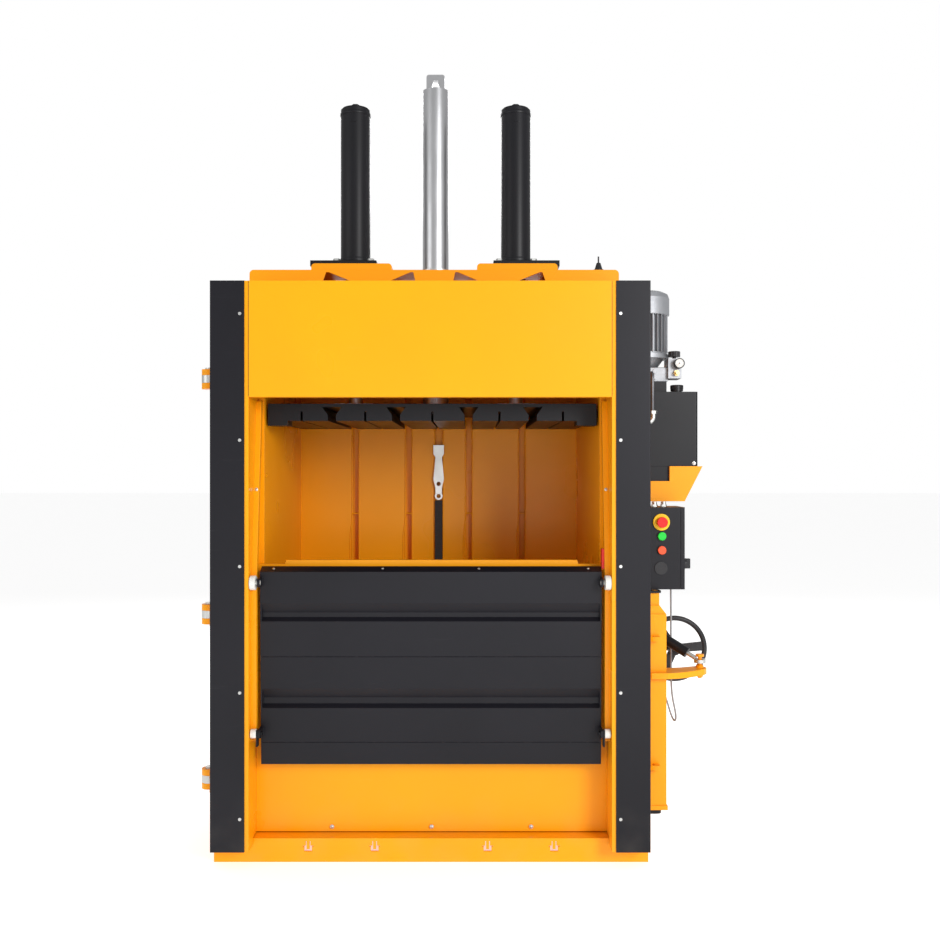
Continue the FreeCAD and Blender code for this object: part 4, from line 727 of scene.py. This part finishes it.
lathe("gauge_dial", [(0, 0), (0.0156, 0), (0.0156, 0.0006), (0, 0.0006)],
      (gauge.x, gauge.y + 0.0015, gauge.z), "frame",
      dial_white)
lathe("gauge_rim", [(0.0160, 0), (0.0189, 0), (0.0185, 0.0012), (0.0165, 0.0012)],
      (gauge.x, gauge.y + 0.0006, gauge.z),
      "frame", black_plastic)
lathe("gauge_hub", [(0, 0), (0.0022, 0), (0.0018, 0.0008), (0, 0.0008)],
      (gauge.x, gauge.y + 0.0008, gauge.z), "frame",
      black_plastic)
bar("gauge_needle", [[(gauge.x, gauge.y + 0.0006, gauge.z), (gauge.x - 0.0088, gauge.y + 0.0006,
                                                             gauge.z - 0.0072)]],
    0.0004, "frame", red_plastic)
for name, node in (("start_button_rim", "green_button"), ("reset_button_rim", "red_button")):
    low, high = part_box(node)
    lathe(name, [(0.0164, 0), (0.0188, 0), (0.0185, 0.0020), (0.0176, 0.0028), (0.0164, 0.0028)],
          ((low.x + high.x) / 2, -0.3998, (low.z + high.z) / 2), "control_door", black_plastic)

# %% [markdown]
# ## The oil pipe's elbow
# The pipe turns into the wall through a plated elbow with a union nut at each end.

# %% Elbow
pipe_low, pipe_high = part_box("oil_pipe")
pipe_x, pipe_y, pipe_z = pipe_high.x - 0.005, pipe_low.y + 0.005, pipe_low.z + 0.009
bend = [(pipe_x, pipe_y, pipe_z + 0.038), (pipe_x, pipe_y, pipe_z + 0.020)]
bend += [(pipe_x - 0.020 + 0.020 * math.cos(a), pipe_y, pipe_z + 0.020 - 0.020 * math.sin(a))
         for a in [math.radians(15 * i) for i in range(1, 6)]]
bend += [(pipe_x - 0.020, pipe_y, pipe_z), (pipe_x - 0.040, pipe_y, pipe_z)]
bar("pipe_elbow", [bend], 0.0100, "frame", zinc, 5)
nut = [(0.0095, 0), (0.0145, 0), (0.0145, 0.011), (0.0132, 0.013), (0.0095, 0.013)]
lathe("elbow_top_nut", nut, (pipe_x, pipe_y, pipe_z + 0.030), "frame", zinc, 6, (0, 0))
lathe("elbow_side_nut", nut, (pipe_x - 0.046, pipe_y, pipe_z), "frame", zinc, 6,
      (0, math.radians(90)))
print("elbow at", round(pipe_x, 3), round(pipe_z, 3))

# %% [markdown]
# ## Cylinder bands
# Each press cylinder has a narrow satin-black gland ring near its top and another at its
# foot, where the tube meets the flange.

# %% Bands
for side, name in ((-1, "left"), (1, "right")):
    for height, place in ((0.010, 2.768), (0.014, 2.190)):
        lathe(f"cylinder_{name}_band_{int(place * 1000)}",
              [(0.0575, 0), (0.0598, 0), (0.0605, height / 2), (0.0598, height), (0.0575, height)],
              (side * 0.317, 0.0, place), "frame", satin_black, 64, (0, 0))

# %% [markdown]
# ## Floor and light
# A plain pale floor runs back to a white sky. A soft lamp stands in front, to the right
# and level with the header. Weaker ones fill the left side, the front and the back, and
# the sky lights the rest. The sky is seen as pure white but lights the machine less.

# %% Studio
floor_mesh = bpy.data.meshes.new("studio_floor")
floor_mesh.from_pydata([(-60, -30, 0), (60, -30, 0), (60, 90, 0), (-60, 90, 0)], [], [(0, 1, 2, 3)])
floor = bpy.data.objects.new("studio_floor", floor_mesh)
floor_finish = Finish("pale_floor")
dress(floor, floor_finish.end(Base_Color=floor_finish.mix(floor_finish.noise(0.8),
                                                          (0.90, 0.90, 0.90, 1), (0.92, 0.92, 0.92, 1)),
                              Roughness=0.7, Emission_Color=(1, 1, 1, 1), Emission_Strength=0.50))
scene.collection.objects.link(floor)


def lamp(name, place, target, size, power, colour=(1, 1, 1)):
    light = bpy.data.lights.new(name, "AREA")
    light.shape = "RECTANGLE"
    light.size, light.size_y = size
    light.energy = power
    light.color = colour
    obj = bpy.data.objects.new(name, light)
    obj.location = place
    obj.rotation_euler = (Vector(target) - Vector(place)).to_track_quat("-Z", "Y").to_euler()
    scene.collection.objects.link(obj)
    return obj


middle = (0.0, 0.0, 1.2)
lamp("key_softbox", (3.2, -5.0, 2.7), middle, (1.8, 1.8), 195.0)
lamp("left_fill", (-4.6, -3.4, 2.6), middle, (3.0, 3.0), 40.0)
lamp("low_front_fill", (0.4, -6.5, 1.0), middle, (4.0, 1.6), 25.0)
lamp("back_rim", (0.0, 4.5, 4.2), middle, (4.0, 1.5), 140.0)
sky = bpy.data.worlds.new("pale_sky")
sky.use_nodes = True
sky_nodes, sky_links = sky.node_tree.nodes, sky.node_tree.links
seen = sky_nodes.new("ShaderNodeLightPath")
strength = sky_nodes.new("ShaderNodeMapRange")
strength.inputs["To Min"].default_value = 0.50
strength.inputs["To Max"].default_value = 1.0
sky_links.new(seen.outputs["Is Camera Ray"], strength.inputs["Value"])
sky_links.new(strength.outputs["Result"], sky_nodes["Background"].inputs["Strength"])
sky_nodes["Background"].inputs["Color"].default_value = (1.0, 1.0, 1.0, 1)
scene.world = sky
scene.view_settings.view_transform = "Standard"
